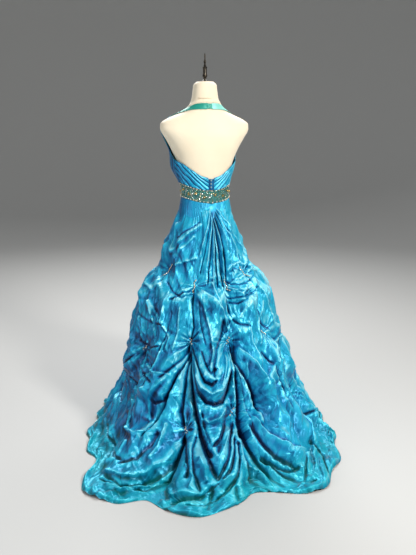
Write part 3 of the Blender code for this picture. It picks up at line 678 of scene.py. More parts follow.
swags = (  # left and right bearing, height at the ends, lowest height, half width, lift
    (-48, -10, 0.700, 0.610, 0.040, 0.020), (-10, 22, 0.680, 0.620, 0.034, 0.016),
    (22, 52, 0.690, 0.600, 0.040, 0.020), (52, 90, 0.700, 0.610, 0.040, 0.020),
    (90, 130, 0.700, 0.610, 0.040, 0.020), (130, 172, 0.700, 0.610, 0.040, 0.020),
    (172, 212, 0.700, 0.610, 0.040, 0.020), (212, 265, 0.700, 0.610, 0.040, 0.020),
    (265, 312, 0.700, 0.600, 0.040, 0.020), (-47, -10, 0.420, 0.250, 0.045, 0.026),
    (-10, 17, 0.440, 0.345, 0.024, 0.016), (-10, 17, 0.420, 0.285, 0.026, 0.024),
    (17, 48, 0.430, 0.280, 0.045, 0.026), (48, 82, 0.420, 0.270, 0.045, 0.024),
    (82, 122, 0.400, 0.270, 0.045, 0.024), (122, 165, 0.400, 0.270, 0.045, 0.024),
    (165, 210, 0.400, 0.270, 0.045, 0.024), (210, 258, 0.400, 0.270, 0.045, 0.024),
    (258, 313, 0.400, 0.260, 0.045, 0.024), (-9, 14, 0.170, 0.080, 0.030, 0.030),
)
folds = (  # upper bearing and height, lower bearing and height, half width, rise or dip
    (14, 1.000, 12, 0.700, 0.014, 0.014), (32, 1.000, 29, 0.740, 0.014, 0.011),
    (48, 1.000, 44, 0.760, 0.014, 0.009), (2, 0.985, -2, 0.740, 0.016, 0.010),
    (-40, 0.960, -34, 0.780, 0.018, 0.008), (-75, 0.960, -70, 0.760, 0.020, 0.008),
    (75, 0.980, 74, 0.760, 0.018, 0.008), (-10, 0.660, -9, 0.500, 0.026, -0.016),
    (21, 0.660, 17, 0.500, 0.026, -0.016), (4, 0.650, 4, 0.480, 0.040, 0.014),
    (-10, 0.470, -9, 0.200, 0.036, -0.026), (16, 0.470, 14, 0.250, 0.036, -0.028),
    (-12, 0.470, -28, 0.150, 0.034, -0.022), (-18, 0.420, -38, 0.140, 0.036, 0.020),
    (19, 0.460, 29, 0.140, 0.034, -0.020), (26, 0.420, 38, 0.120, 0.036, 0.020),
    (48, 0.460, 47, 0.060, 0.040, 0.018), (60, 0.440, 60, 0.040, 0.036, -0.016),
    (-58, 0.400, -60, 0.060, 0.040, 0.018), (-48, 0.400, -50, 0.080, 0.036, -0.016),
    (-9, 0.180, -14, 0.000, 0.046, -0.030), (14, 0.230, 16, 0.000, 0.046, -0.032),
    (-3, 0.170, -5, 0.010, 0.040, 0.018), (8, 0.200, 9, 0.010, 0.040, 0.020),
    (-24, 0.160, -28, 0.010, 0.050, 0.026), (29, 0.160, 34, 0.010, 0.056, 0.026),
)
waves = {
    "count": 22, "rise": 0.011, "fromHeight": 0.62, "fullHeight": 0.12,
    "hemFrom": 0.78, "hemOver": 0.10, "calm": 0.75, "calmReach": 40,
}


def hemShare(share):
    # 0 where the waves stand out from the hanging cloth, 1 where they bend the hem's outline.
    return np.clip((share - waves["hemFrom"]) / waves["hemOver"], 0, 1)


def evenWaves(lay, height):
    # Rise times growth towards the floor times a cosine round the skirt, calmer on the train.
    fall = waves["fromHeight"] - waves["fullHeight"]
    grown = np.clip((waves["fromHeight"] - height) / fall, 0, 1)
    calm = 1 - waves["calm"] * np.exp(-((lay / waves["calmReach"]) ** 4))
    return waves["rise"] * grown * calm * np.cos(np.radians(waves["count"] * lay))


def plainSkirt(bearing, share):
    # Rings from the sections, turned to the train's lay, and fitted to the form at the waist.
    bearing, share = np.broadcast_arrays(np.asarray(bearing, float), np.asarray(share, float))
    lay = wrapped(bearing - trainBearing)
    cosine, sine = np.cos(np.radians(lay)), np.sin(np.radians(lay))
    height, left, right, back, front = (fromRows(share, skirtSections, 0, n) for n in range(1, 6))
    side = np.where(sine > 0, right, left)
    ahead = np.where(cosine > 0, back, front)
    reach = 1 / np.sqrt((sine / side) ** 2 + (cosine / ahead) ** 2)
    hem = fromRows(lay, hemOutline, 0, 1)
    onFloor = np.clip((share - 0.60) / 0.40, 0, 1) ** 2
    reach = reach * (1 - onFloor) + hem * onFloor
    reach = reach + evenWaves(lay, height) * hemShare(share)
    angle = np.radians(bearing)
    loose = np.stack([reach * np.sin(angle), -reach * np.cos(angle), height], axis=-1)
    top = fromRows(np.abs(wrapped(bearing)), bandEdges, 0, 1)
    fitted = onForm(bearing, top - seamGap, clothGap + clothWall)
    fitted = fitted - np.stack([0 * height, 0 * height, skirtSections[0][1] - height], axis=-1)
    held = 1 - ease(share / 0.09)
    return fitted * held[..., None] + loose * (1 - held[..., None])


def largeForms(lay, share):
    # Pinches, swags, long folds and waves, summed as heights over the plain skirt.
    height = fromRows(share, skirtSections, 0, 1)
    arc = arcAt(share)
    rise = np.zeros_like(lay)
    for at, level, depth, wide, tall in pickups:
        across = wrapped(lay - at) * arc / wide
        rise -= depth * np.exp(-(across**2) - ((height - level) / tall) ** 2)
    for left, right, ends, lowest, wide, lift in swags:
        middle, half = (left + right) / 2, (right - left) / 2
        place = wrapped(lay - middle) / half
        line = lowest + (ends - lowest) * place**2
        inside = np.clip(1 - place**2, 0, 1) ** 0.7
        rise += lift * inside * np.exp(-(((height - line) / wide) ** 2))
    for topAt, top, lowAt, low, wide, out in folds:
        down = np.clip((top - height) / (top - low), 0, 1)
        centre = topAt + (lowAt - topAt) * down
        ends = np.clip((top + 0.03 - height) / 0.06, 0, 1)
        ends = ends * np.clip((height - low + 0.03) / 0.06, 0, 1)
        rise += out * ends * np.exp(-((wrapped(lay - centre) * arc / wide) ** 2))
    return rise + evenWaves(lay, height) * (1 - hemShare(share))


def arcAt(share):
    # Metres round the skirt for one degree.
    back, side = fromRows(share, skirtSections, 0, 4), fromRows(share, skirtSections, 0, 2)
    return np.radians(1.0) * (back + side) / 2


def runAt(share):
    # Metres down the cloth from the waist, along the train's middle.
    steps = np.linspace(0, 1, 401)
    height, back = fromRows(steps, skirtSections, 0, 1), fromRows(steps, skirtSections, 0, 4)
    length = np.concatenate([[0], np.cumsum(np.hypot(np.diff(height), np.diff(back)))])
    return np.interp(share, steps, length)


def runOf(height):
    # Metres down the cloth at a height over the floor.
    steps = np.linspace(0, 1, 401)
    return np.interp(-height, -fromRows(steps, skirtSections, 0, 1), runAt(steps))


def clearOfForm(points, distance):
    # Pushes points away from the axis until they are this far outside the form.
    x, y, height = points[..., 0], points[..., 1], points[..., 2]
    bottom = formSections[1][0]
    body = formSurface(np.degrees(np.arctan2(x, -y)), np.maximum(height, bottom))
    needed = np.hypot(body[..., 0], body[..., 1]) + distance
    near = np.clip((height - bottom + 0.06) / 0.05, 0, 1)
    grown = 1 + near * (np.maximum(needed / np.hypot(x, y), 1) - 1)
    return np.stack([x * grown, y * grown, height], axis=-1)


# Creases as the camera sees them, in 416ths of the picture's width: places down the crease,
# half width, rise or dip, and lean (1 is steep on its right, -1 on its left, 0 even).
creases = (
    (((211.5, 206), (208, 235), (203, 262), (199, 274)), 0.0035, -0.009, 0),
    (((211.8, 206), (211, 240), (209, 270), (208, 286)), 0.0035, -0.011, 0),
    (((212.2, 206), (214, 235), (216, 262), (218, 288)), 0.0048, -0.018, 0),
    (((212.5, 206), (217, 235), (221, 262), (226, 290), (233, 316)), 0.0060, -0.024, 0),
    (((213, 206), (220, 232), (225, 255), (230, 284)), 0.0042, -0.016, 0),
    (((213.5, 206), (225, 235), (233, 258), (237, 272)), 0.0035, -0.010, 0),
    (((214, 206), (230, 234), (240, 256), (244, 266)), 0.0032, -0.008, 0),
    (((211.2, 207), (205.5, 235), (199.5, 258)), 0.0038, 0.007, 0),
    (((211.7, 207), (209.5, 240), (206, 270)), 0.0038, 0.008, 0),
    (((212, 207), (212.7, 240), (213, 270), (214, 290)), 0.0042, 0.010, 0),
    (((212.8, 207), (218.5, 236), (223, 260), (227, 280)), 0.0038, 0.010, 0),
    (((213.3, 207), (222.5, 234), (229, 256), (233, 270)), 0.0038, 0.009, 0),
    (((214, 207), (227.5, 234), (237, 256), (241, 264)), 0.0035, 0.008, 0),
    (((215, 207), (233, 232), (245, 254)), 0.0035, 0.007, 0),
    (((211, 280), (216, 296), (224, 312), (230, 330)), 0.0060, 0.010, 0),
    (((202, 224), (190, 234), (178, 246), (170, 254)), 0.007, 0.010, 1),
    (((200, 222), (186, 232), (176, 240)), 0.005, -0.008, 0),
    (((196, 236), (184, 248), (175, 258)), 0.006, 0.007, 1),
    (((178, 222), (174, 238), (170, 254)), 0.006, 0.008, -1),
    (((198, 258), (184, 262), (174, 266)), 0.005, 0.007, 1),
    (((193, 288), (184, 292), (176, 296), (170, 300)), 0.006, -0.010, 0),
    (((166, 280), (172, 292), (182, 298), (192, 292)), 0.006, -0.008, 0),
    (((160, 284), (153, 290), (149, 286), (147, 278)), 0.006, 0.008, 1),
    (((192, 292), (191, 310), (192, 326), (187, 342)), 0.006, -0.016, 0),
    (((196, 292), (204, 306), (210, 330), (213, 352), (210, 372)), 0.007, 0.012, -1),
    (((200, 288), (214, 300), (228, 316), (234, 330)), 0.007, 0.009, 1),
    (((224, 318), (223, 332), (217, 350), (213, 366), (214, 380)), 0.012, -0.016, 0),
    (((226, 300), (238, 304), (246, 300), (250, 288)), 0.006, -0.009, 0),
    (((232, 290), (240, 294), (247, 286), (250, 276)), 0.005, 0.007, 0),
    (((227, 272), (232, 265), (239, 262), (246, 264), (251, 270)), 0.0045, 0.010, 0),
    (((231, 271), (237, 267), (244, 270), (248, 276)), 0.0036, -0.008, 0),
    (((228, 276), (233, 282), (240, 285), (248, 282), (254, 275)), 0.0044, -0.010, 0),
    (((226, 282), (234, 289), (243, 291), (252, 286)), 0.0046, 0.010, 0),
    (((235, 279), (243, 276), (250, 270), (257, 270)), 0.0036, 0.007, 0),
    (((224, 293), (232, 298), (241, 298), (250, 294), (258, 286)), 0.0044, -0.009, 0),
    (((234, 318), (242, 324), (252, 326)), 0.006, -0.012, 0),
    (((151, 300), (159, 318), (153, 338)), 0.0050, 0.008, 1),
    (((139, 312), (150, 322), (164, 326)), 0.0045, -0.008, 0),
    (((166, 306), (161, 322), (169, 338), (164, 352)), 0.0050, 0.008, -1),
    (((137, 340), (149, 348), (160, 346)), 0.0045, -0.008, 0),
    (((146, 362), (156, 372), (171, 374)), 0.0050, 0.008, 1),
    (((131, 372), (138, 388), (133, 403)), 0.0045, -0.008, 0),
    (((151, 386), (140, 398), (127, 410)), 0.0050, 0.009, -1),
    (((172, 386), (160, 400), (152, 404)), 0.0045, -0.008, 0),
    (((256, 284), (266, 302), (274, 322), (280, 328)), 0.007, 0.010, 1),
    (((248, 284), (246, 304), (240, 318)), 0.006, 0.009, -1),
    (((186, 344), (177, 360), (168, 370), (160, 379)), 0.006, -0.012, 0),
    (((187, 348), (180, 366), (168, 388), (158, 408), (150, 424), (141, 438)), 0.011, -0.026, 0),
    (((186, 352), (184, 372), (181, 392), (177, 410), (178, 424)), 0.008, -0.018, 0),
    (((188, 350), (190, 372), (193, 400), (198, 424), (206, 448), (211, 460)), 0.010, -0.026, 0),
    (((188, 346), (194, 358), (200, 372), (205, 383), (211, 386), (218, 380)), 0.006, -0.016, 0),
    (
        ((190, 352), (193, 376), (198, 392), (206, 402), (214, 404), (224, 400), (231, 388),
         (236, 366)), 0.008, -0.020, 0,
    ),
    (((194, 372), (202, 390), (211, 396), (221, 391), (229, 376)), 0.009, 0.014, 0),
    (((196, 402), (200, 416), (208, 424), (218, 420), (230, 404)), 0.009, 0.012, 0),
    (
        ((197, 424), (205, 450), (212, 472), (219, 480), (226, 462), (232, 440), (238, 416)),
        0.010, -0.022, 0,
    ),
    (((204, 424), (211, 448), (217, 462), (224, 444), (230, 424)), 0.010, 0.012, 0),
    (((236, 344), (240, 362), (248, 380), (256, 396), (262, 412)), 0.008, -0.022, 0),
    (((238, 350), (240, 376), (243, 400), (244, 422), (246, 436)), 0.008, -0.020, 0),
    (((240, 346), (252, 362), (262, 384)), 0.007, 0.010, 1),
    (((246, 360), (250, 384), (258, 404), (266, 424)), 0.009, 0.012, 1),
    (((280, 330), (272, 350), (268, 372), (262, 384)), 0.007, 0.010, -1),
    (((282, 330), (290, 358), (296, 384), (306, 402)), 0.007, 0.010, 1),
    (((278, 334), (284, 362), (290, 388), (296, 410)), 0.008, -0.014, 0),
    (((274, 336), (270, 356), (272, 372), (282, 396), (292, 414)), 0.007, 0.010, 1),
    (((244, 424), (250, 444), (258, 460), (270, 474), (286, 488)), 0.009, -0.022, 0),
    (((250, 420), (262, 442), (276, 458), (296, 470)), 0.008, -0.014, 0),
    (((252, 414), (268, 436), (288, 452), (308, 456)), 0.010, 0.014, 1),
    (((260, 456), (274, 464), (290, 472), (300, 468)), 0.006, -0.012, 0),
    (((306, 402), (316, 420), (326, 432), (338, 442)), 0.007, 0.011, 1),
    (((300, 404), (306, 424), (312, 450), (314, 474)), 0.007, 0.009, -1),
    (((296, 410), (306, 412), (316, 412)), 0.007, -0.012, 0),
    (((180, 428), (177, 446), (172, 462), (164, 476), (148, 490)), 0.009, -0.022, 0),
    (((182, 432), (186, 452), (188, 470), (184, 480)), 0.008, -0.018, 0),
    (((178, 436), (166, 458), (148, 474), (124, 480), (104, 474)), 0.010, 0.014, 1),
    (((174, 452), (160, 472), (140, 484), (118, 488), (98, 482)), 0.007, -0.018, 0),
    (((170, 464), (152, 484), (128, 494), (104, 492)), 0.008, 0.012, 1),
    (((104, 478), (122, 488), (144, 492), (158, 484)), 0.006, -0.010, 0),
    (((140, 346), (132, 360), (124, 380), (116, 404)), 0.008, 0.010, 1),
    (((138, 352), (144, 372), (156, 384)), 0.007, -0.010, 0),
    (((136, 354), (126, 376), (120, 400), (112, 420)), 0.007, -0.012, 0),
    (((150, 372), (140, 392), (130, 412), (124, 432)), 0.008, 0.009, -1),
    (((168, 376), (152, 400), (146, 420)), 0.008, 0.010, 1),
    (((106, 424), (112, 444), (124, 462)), 0.007, -0.012, 0),
    (((122, 424), (136, 434), (150, 428)), 0.007, 0.009, 0),
    (((240, 432), (234, 452), (230, 470), (220, 482)), 0.008, -0.020, 0),
    (((242, 436), (240, 460), (236, 478), (226, 492)), 0.007, -0.014, 0),
    (((244, 440), (248, 462), (252, 482)), 0.008, 0.010, 1),
    (((222, 483), (206, 492), (188, 500), (168, 504)), 0.008, -0.016, 0),
    (((236, 480), (222, 496), (200, 506), (184, 508)), 0.006, -0.012, 0),
    (((230, 476), (210, 492), (186, 497), (166, 498)), 0.010, 0.013, 1),
    (((200, 460), (204, 472), (208, 484)), 0.008, 0.008, 0),
    (((184, 462), (192, 478), (190, 492)), 0.007, 0.009, -1),
    (((144, 300), (140, 316), (136, 334)), 0.008, 0.008, -1),
    (((196, 430), (192, 450), (194, 474), (200, 494)), 0.007, -0.012, 0),
    (((214, 486), (212, 500), (206, 512)), 0.007, -0.012, 0),
    (((236, 486), (238, 498), (244, 508)), 0.007, -0.011, 0),
    (((250, 474), (258, 488), (268, 498)), 0.007, -0.012, 0),
    (((262, 452), (280, 470), (300, 482), (318, 484)), 0.007, -0.013, 0),
    (((308, 440), (322, 458), (332, 476)), 0.007, -0.010, 0),
    (((286, 420), (298, 440), (304, 462), (304, 484)), 0.007, -0.011, 0),
    (((158, 430), (150, 446), (136, 460), (118, 466)), 0.007, -0.012, 0),
    (((166, 420), (158, 446), (150, 462)), 0.007, 0.010, 0),
    (((128, 440), (118, 456), (104, 466)), 0.007, 0.009, 0),
    (((150, 380), (138, 404), (128, 424)), 0.006, -0.010, 0),
    (((164, 340), (158, 362), (150, 378)), 0.005, 0.008, 0),
    (((172, 310), (166, 332), (158, 352)), 0.005, -0.008, 0),
    (((180, 306), (178, 330), (172, 352)), 0.005, 0.009, 0),
    (((200, 300), (200, 322), (206, 346)), 0.005, -0.007, 0),
    (((254, 300), (262, 318), (272, 330)), 0.005, -0.009, 0),
    (((248, 320), (252, 344), (260, 366)), 0.006, 0.010, 0),
    (((262, 350), (272, 372), (284, 396)), 0.006, -0.009, 0),
    (((228, 352), (226, 372), (222, 388)), 0.005, 0.008, 0),
    (((200, 350), (206, 366), (211, 374), (217, 368)), 0.005, -0.009, 0),
    (((200, 410), (206, 434), (212, 448), (220, 440), (228, 416)), 0.006, -0.014, 0),
    (((150, 300), (152, 318), (154, 336)), 0.010, 0.010, 0),
    (((262, 300), (260, 322), (262, 346)), 0.010, 0.010, 0),
)
creaseEnds = 0.10  # share of a crease over which it fades at each end
creaseGrowth = {"from": 0.55, "over": 0.35, "more": 0.55}  # deeper creases towards the hem
fan = {
    "cells": 24, "rise": 0.0120, "reach": 0.062, "steady": 0.10, "start": 0.020, "parts": 5,
    "evenOver": 0.3,
}
gathers = {"cells": 74, "rise": 0.0026, "over": 0.30, "steady": 0.30}
crushed = (  # the crushed cloth's facets: width, length over width, lean, height, seed
    (0.085, 1.8, 26, 0.0110, 11),
    (0.052, 2.2, -30, 0.0115, 23),
    (0.034, 2.5, 34, 0.0085, 37),
    (0.022, 2.6, -8, 0.0050, 53),
)
pressed = (  # long sharp creases: spacing, length over spacing, lean, height, seed
    (0.050, 6.0, 20, 0.0075, 83),
    (0.040, 6.0, -30, 0.0070, 91),
    (0.026, 6.0, 42, 0.0045, 97),
    (0.020, 6.0, -12, 0.0032, 61),
)
crushedCalm = {"from": 0.05, "to": 0.28, "least": 0.32, "atCatch": 0.65, "aroundCatch": 0.055}
floorRoll = {"from": 0.84, "over": 0.08, "to": 0.982, "rise": 0.011}


picture = (416, 555)  # the size to which the creases' places are given
eye = np.array(turned(view["aside"], -view["distance"], view["height"]))


def inView(points):
    # Where the camera sees points: across and down, in 416ths of the picture's width.
    turn = math.radians(view["turn"])
    tilt = math.radians(view["pitch"])
    aside = np.array((math.cos(turn), math.sin(turn), 0))
    ahead = np.array((-math.sin(turn), math.cos(turn), 0))
    forward = ahead * math.cos(tilt) - np.array((0, 0, math.sin(tilt)))
    upward = ahead * math.sin(tilt) + np.array((0, 0, math.cos(tilt)))
    away = points - eye
    wide, tall = picture
    scale = view["lens"] / view["sensor"] * tall / (away @ forward)
    return wide / 2 + (away @ aside) * scale, tall / 2 - (away @ upward) * scale


def placesOf(lines):
    # Turns the creases' places in the picture into bearings from the train and metres down.
    lay, share = np.meshgrid(np.linspace(-96, 96, 241), np.linspace(0.01, 0.995, 330))
    points = plainSkirt(lay + trainBearing, share)
    across, down = inView(points)
    facing = np.sum(normalsOf(points) * (eye - points), axis=-1)
    hidden = np.where(facing * np.sign(np.median(facing)) < 0, 1e6, 0)
    run = runAt(share)
    found = []
    for places, *form in lines:
        nearest = [
            np.argmin((across - x) ** 2 + (down - y) ** 2 + hidden) for x, y in places
        ]
        found.append(([(lay.flat[n], run.flat[n]) for n in nearest], *form))
    return found


def creaseRise(lay, run, arc, lines):
    # For each crease, a bell over the distance to its line, steeper on the side it leans to.
    rise = np.zeros_like(lay)
    for line, wide, height, lean in lines:
        bearings = [at for at, _ in line]
        margin = 5 * wide / 0.004
        if max(bearings) + margin < lay.min() or min(bearings) - margin > lay.max():
            continue
        nearest = np.full_like(lay, 1e3)
        side, passed = np.ones_like(lay), np.zeros_like(lay)
        for i in range(len(line) - 1):
            (a, fromRun), (b, toRun) = line[i], line[i + 1]
            x, y = (lay - a) * arc, run - fromRun
            stepX, stepY = (b - a) * arc, toRun - fromRun
            t = np.clip((x * stepX + y * stepY) / (stepX**2 + stepY**2 + 1e-9), 0, 1)
            distance = np.hypot(x - t * stepX, y - t * stepY)
            closer = distance < nearest
            nearest = np.where(closer, distance, nearest)
            side = np.where(closer, np.sign(x * stepY - y * stepX), side)
            passed = np.where(closer, (i + t) / (len(line) - 1), passed)
        ends = ease(np.minimum(passed, 1 - passed) / creaseEnds + 0.15)
        spread = wide * np.where(side * lean > 0, 0.45, 0.8 + 1.9 * abs(lean))
        bold = 1 + creaseGrowth["more"] * ease((run - creaseGrowth["from"]) / creaseGrowth["over"])
        rise += height * bold * ends * np.exp(-np.abs(nearest / spread) ** 1.15)
    return rise


def ringNoise(turn, y, cells, seed):
    # Soft noise whose first axis closes on itself after one turn.
    return latticeNoise((turn % 1.0) * cells, y, seed, cells)


def fanRise(lay, run, arc):
    # Sharp creases that spread from each catch, strongest near it.
    rise = np.zeros_like(lay)
    for number, (at, level, depth, wide, tall) in enumerate(pickups):
        x = wrapped(lay - at) * arc
        y = run - runOf(level)
        far = np.hypot(x, y)
        if far.min() > 4 * fan["reach"]:
            continue
        turn = np.arctan2(x, y) / (2 * np.pi) + 0.5
        noise = ringNoise(turn, far / fan["steady"] + number, fan["cells"], 100 + number)
        grow = ease(far / fan["start"])
        uneven = ringNoise(turn, far / fan["evenOver"] + number, fan["parts"], 150 + number)
        uneven = 0.55 + 0.45 * uneven
        rise += fan["rise"] * grow * uneven * np.exp(-far / fan["reach"]) * ridged(noise)
    return rise


def leaning(across, down, lean):
    # Both lengths along axes that lean by this many degrees.
    turn = math.radians(lean)
    aside = across * math.cos(turn) - down * math.sin(turn)
    return aside, across * math.sin(turn) + down * math.cos(turn)


def skirtRise(lay, share):
    # The solid's own forms plus creases, catches' fans, waist gathers and crushed facets.
    arc, run = arcAt(share), runAt(share)
    rise = largeForms(lay, share)
    fine = creaseRise(lay, run, arc, seenCreases)
    fine += fanRise(lay, run, arc)
    fade = 1 - ease((run - 0.02) / gathers["over"])
    noise = ringNoise(lay / 360, run / gathers["steady"], gathers["cells"], 71)
    fine += gathers["rise"] * fade * (ridged(noise) + 0.45)
    noise = ringNoise(lay / 360, run / 0.5, 29, 72)
    fine += 0.005 * ease((run - 0.1) / 0.25) * ridged(noise)
    drawn = (rise + fine) * np.clip(share / 0.03, 0, 1)
    flat = np.zeros_like(lay)
    for width, long, lean, height, seed in crushed:
        aside, along = leaning(lay * arc, run, lean)
        along = along / long
        here = 0.55 + 0.45 * latticeNoise(lay * arc / 0.16 + 30, run / 0.2 + seed, seed + 5)
        flat += crumple(aside + 4, along + 4, width, height, seed) * here
    for width, long, lean, height, seed in pressed:
        aside, along = leaning(lay * arc, run, lean)
        bent = aside / width + 0.5 * latticeNoise(aside / 0.10 + 20, along / 0.10 + 20, seed + 3)
        here = ease(0.6 + 0.9 * latticeNoise(aside / 0.11 + 30, along / 0.13 + 30, seed + 5))
        flat += height * here * ridged(latticeNoise(bent + 60, along / (width * long) + 60, seed))
    least = crushedCalm["least"]
    grown = ease((run - crushedCalm["from"]) / (crushedCalm["to"] - crushedCalm["from"]))
    flat *= (least + (1 - least) * grown) * np.clip(share / 0.03, 0, 1)
    for at, level, depth, wide, tall in pickups:
        far = np.hypot(wrapped(lay - at) * arc, run - runOf(level)) / crushedCalm["aroundCatch"]
        flat *= 1 - crushedCalm["atCatch"] * np.exp(-(far**2))
    roll = ease((share - floorRoll["from"]) / floorRoll["over"])
    roll = roll * (1 - ease((share - floorRoll["to"]) / (1 - floorRoll["to"])))
    return drawn + floorRoll["rise"] * roll, flat


def skirtSurface(bearing, share):
    # The plain skirt moved out along its normal by all its folds, clear of form and floor.
    lay = wrapped(bearing - trainBearing)
    rise, crushedRise = skirtRise(lay, share)
    points = movedOut(plainSkirt, bearing, share, rise + crushedRise, 0.4, -0.002)
    points = clearOfForm(points, clothGap + 0.0008)
    points[..., 2] = np.maximum(points[..., 2], 0.0012)
    return points, rise


skirtPanels = (  # piece, CAD node, bearings of its edges, columns, rows, flat size, area
    ("skirtBackRight", "skirt_back_right", 0, 50, 210, 420, 0.95, 1.75, 0.68),
    ("skirtSideRight", "skirt_side_right", 50, 126, 180, 300, 0.95, 1.50, 0.68),
    ("skirtFront", "skirt_front", 126, 234, 180, 200, 1.15, 1.45, 0.86),
    ("skirtSideLeft", "skirt_side_left", 234, 306, 180, 300, 1.00, 1.60, 0.70),
    ("skirtBackLeft", "skirt_back_left", 306, 360, 220, 420, 1.10, 1.80, 0.90),
)


def printSize(name, points, uv):
    size = (uv[:, -1, 0].max(), uv[-1, :, 1].max(), areaOf(points))
    print(name, "widest, longest and area", *(round(float(value), 4) for value in size))


crushGrowth = {"least": 0.35, "from": 0.06, "over": 0.20}


def makeSkirt():
    for name, node, low, high, columns, rows, wide, long, area in skirtPanels:
        bearings, share = np.meshgrid(np.linspace(low, high, columns), np.linspace(1, 0, rows))
        points, rise = skirtSurface(bearings, share)
        uv = metresOf(points)
        smooth = blurred(blurred(rise, 4, 0), 4, 1)
        smooth = blurred(blurred(smooth, 4, 0), 4, 1)
        grown = ease((runAt(share) - crushGrowth["from"]) / crushGrowth["over"])
        piece = gridPiece(name, points, uv, taffeta)
        # Painted shade in hollows and painted highlight on ridges: how far each point lies under
        # its blurred surroundings.
        setLayer(piece, "paintedShading", np.clip((smooth - rise) / 0.0042, -0.6, 1))
        setLayer(piece, "crush", crushGrowth["least"] + (1 - crushGrowth["least"]) * grown)
        onRoot(piece, node)
        printSize(name, points, uv)


seenCreases = placesOf(creases)
makeSkirt()
print("skirt is draped")


backTop = ((0, 1.119), (20, 1.131), (40, 1.156), (60, 1.180), (90, 1.204))  # bearing, height
frontEdges = (  # outer bearing and height, inner bearing and height, from waist to strap
    (90, 1.0975, 180, 1.104), (90, 1.150, 180, 1.150), (90, 1.204, 180, 1.196),
    (99, 1.240, 177, 1.240), (108, 1.282, 170, 1.292), (115, 1.328, 157, 1.345),
    (117, 1.352, 138, 1.385), (118.3, 1.376, 118.3, 1.402),
)
neckEdges = (  # bearing, lower, upper
    (0, 1.412, 1.438), (30, 1.411, 1.437), (60, 1.406, 1.430), (90, 1.394, 1.416),
    (118, 1.376, 1.402),
)
sideFullness = {"bearing": 104, "height": 1.165, "wide": 26, "tall": 0.052, "rise": 0.015}
shell = 0.0011
bodiceCrush = 0.25


def clothPiece(name, points, finish, node, paintedShading=None):
    # A thin shell on its solid's form, with its lengths as UV.
    uv = metresOf(points)
    piece = gridPiece(name, points, uv, finish)
    wall = piece.modifiers.new("wall", "SOLIDIFY")
    wall.thickness = shell
    wall.offset = -1
    plain = np.zeros(points.shape[:2])
    # The layer of painted shade in hollows and painted highlight on ridges that the taffeta reads;
    # none if not given.
    setLayer(piece, "paintedShading", plain if paintedShading is None else paintedShading)
    setLayer(piece, "crush", plain + bodiceCrush)
    onRoot(piece, node)
    printSize(name, points, uv)


def sideRise(bearing, height):
    # The cups stand off the form at the sides: a bell over bearing and height.
    beside = (np.abs(wrapped(bearing)) - sideFullness["bearing"]) / sideFullness["wide"]
    above = (height - sideFullness["height"]) / sideFullness["tall"]
    return sideFullness["rise"] * np.exp(-(beside**2) - above**2)


def hollowOf(rise):
    # How far each point lies under the cloth around it, as a share of one millimetre: the taffeta
    # paints shade where it lies under and highlight where it stands above.
    smooth = blurred(blurred(rise, 3, 0), 4, 1)
    return np.clip((smooth - rise) / 0.0010, -1, 1)


def pleatRise(across, up, pleats):
    # Rounded slanting ridges with sharp valleys, and finer, uneven ones on them.
    phase = across + pleats["slant"] * up + 0.06 * latticeNoise(across * 4 + 9, up * 2, 5)
    large = pleats["rise"] * np.sqrt(np.abs(np.sin(np.pi * phase * pleats["count"])))
    fine = np.sin(np.pi * (phase + 0.3 * across**2) * pleats["fineCount"])
    uneven = 0.6 + 0.4 * latticeNoise(across * 9, up * 4, 6)
    return large + pleats["fine"] * np.abs(fine) * uneven


def onSide(side, *grids):
    # Grids of bearings, heights and rises, mirrored for the form's left and still in order.
    if side > 0:
        return grids
    bearings, *others = (grid[:, ::-1] for grid in grids)
    return (-bearings, *others)


bodiceBack = {
    "columns": 220, "rows": 44, "count": 4, "rise": 0.0042, "slant": -0.80, "fine": 0.0012,
    "fineCount": 11, "edge": 0.05, "edgeRise": 0.0010, "sideBearing": 89.95,
    "creaseSize": 0.020, "creaseRise": 0.0005, "flat": (0.27, 0.14), "area": 0.0155,
}


def makeBodiceBack(side, name, node):
    # Pleats fade into a rolled edge at the top of the low back.
    near = math.degrees(placket["halfWidth"] / 0.078) + 0.3
    across, up = np.meshgrid(
        np.linspace(0, 1, bodiceBack["columns"]), np.linspace(0, 1, bodiceBack["rows"])
    )
    bearings = near + (bodiceBack["sideBearing"] - near) * across
    low = fromRows(bearings, bandEdges, 0, 2) + seamGap
    heights = low + (fromRows(bearings, backTop, 0, 1) - low) * up
    edge = np.exp(-((1 - up) / bodiceBack["edge"]) ** 2)
    rise = pleatRise(across, up, bodiceBack) * (1 - 0.7 * edge) + bodiceBack["edgeRise"] * edge
    rise = rise + crumple(
        bearings * 0.002, heights, bodiceBack["creaseSize"], bodiceBack["creaseRise"], 8
    )
    bearings, heights, rise = onSide(side, bearings, heights, rise)
    off = clothGap + clothWall + sideRise(bearings, heights)
    points = onForm(bearings, heights, off + rise)
    clothPiece(name, points, taffeta, node, hollowOf(rise))


bodiceFront = {
    "columns": 120, "rows": 84, "count": 7, "rise": 0.0030, "slant": 0.35, "fine": 0.0010,
    "fineCount": 19, "ease": 0.0040, "waistShare": 0.2, "strapShare": 0.3, "gap": 0.05,
    "flat": (0.30, 0.42), "area": 0.072,
}


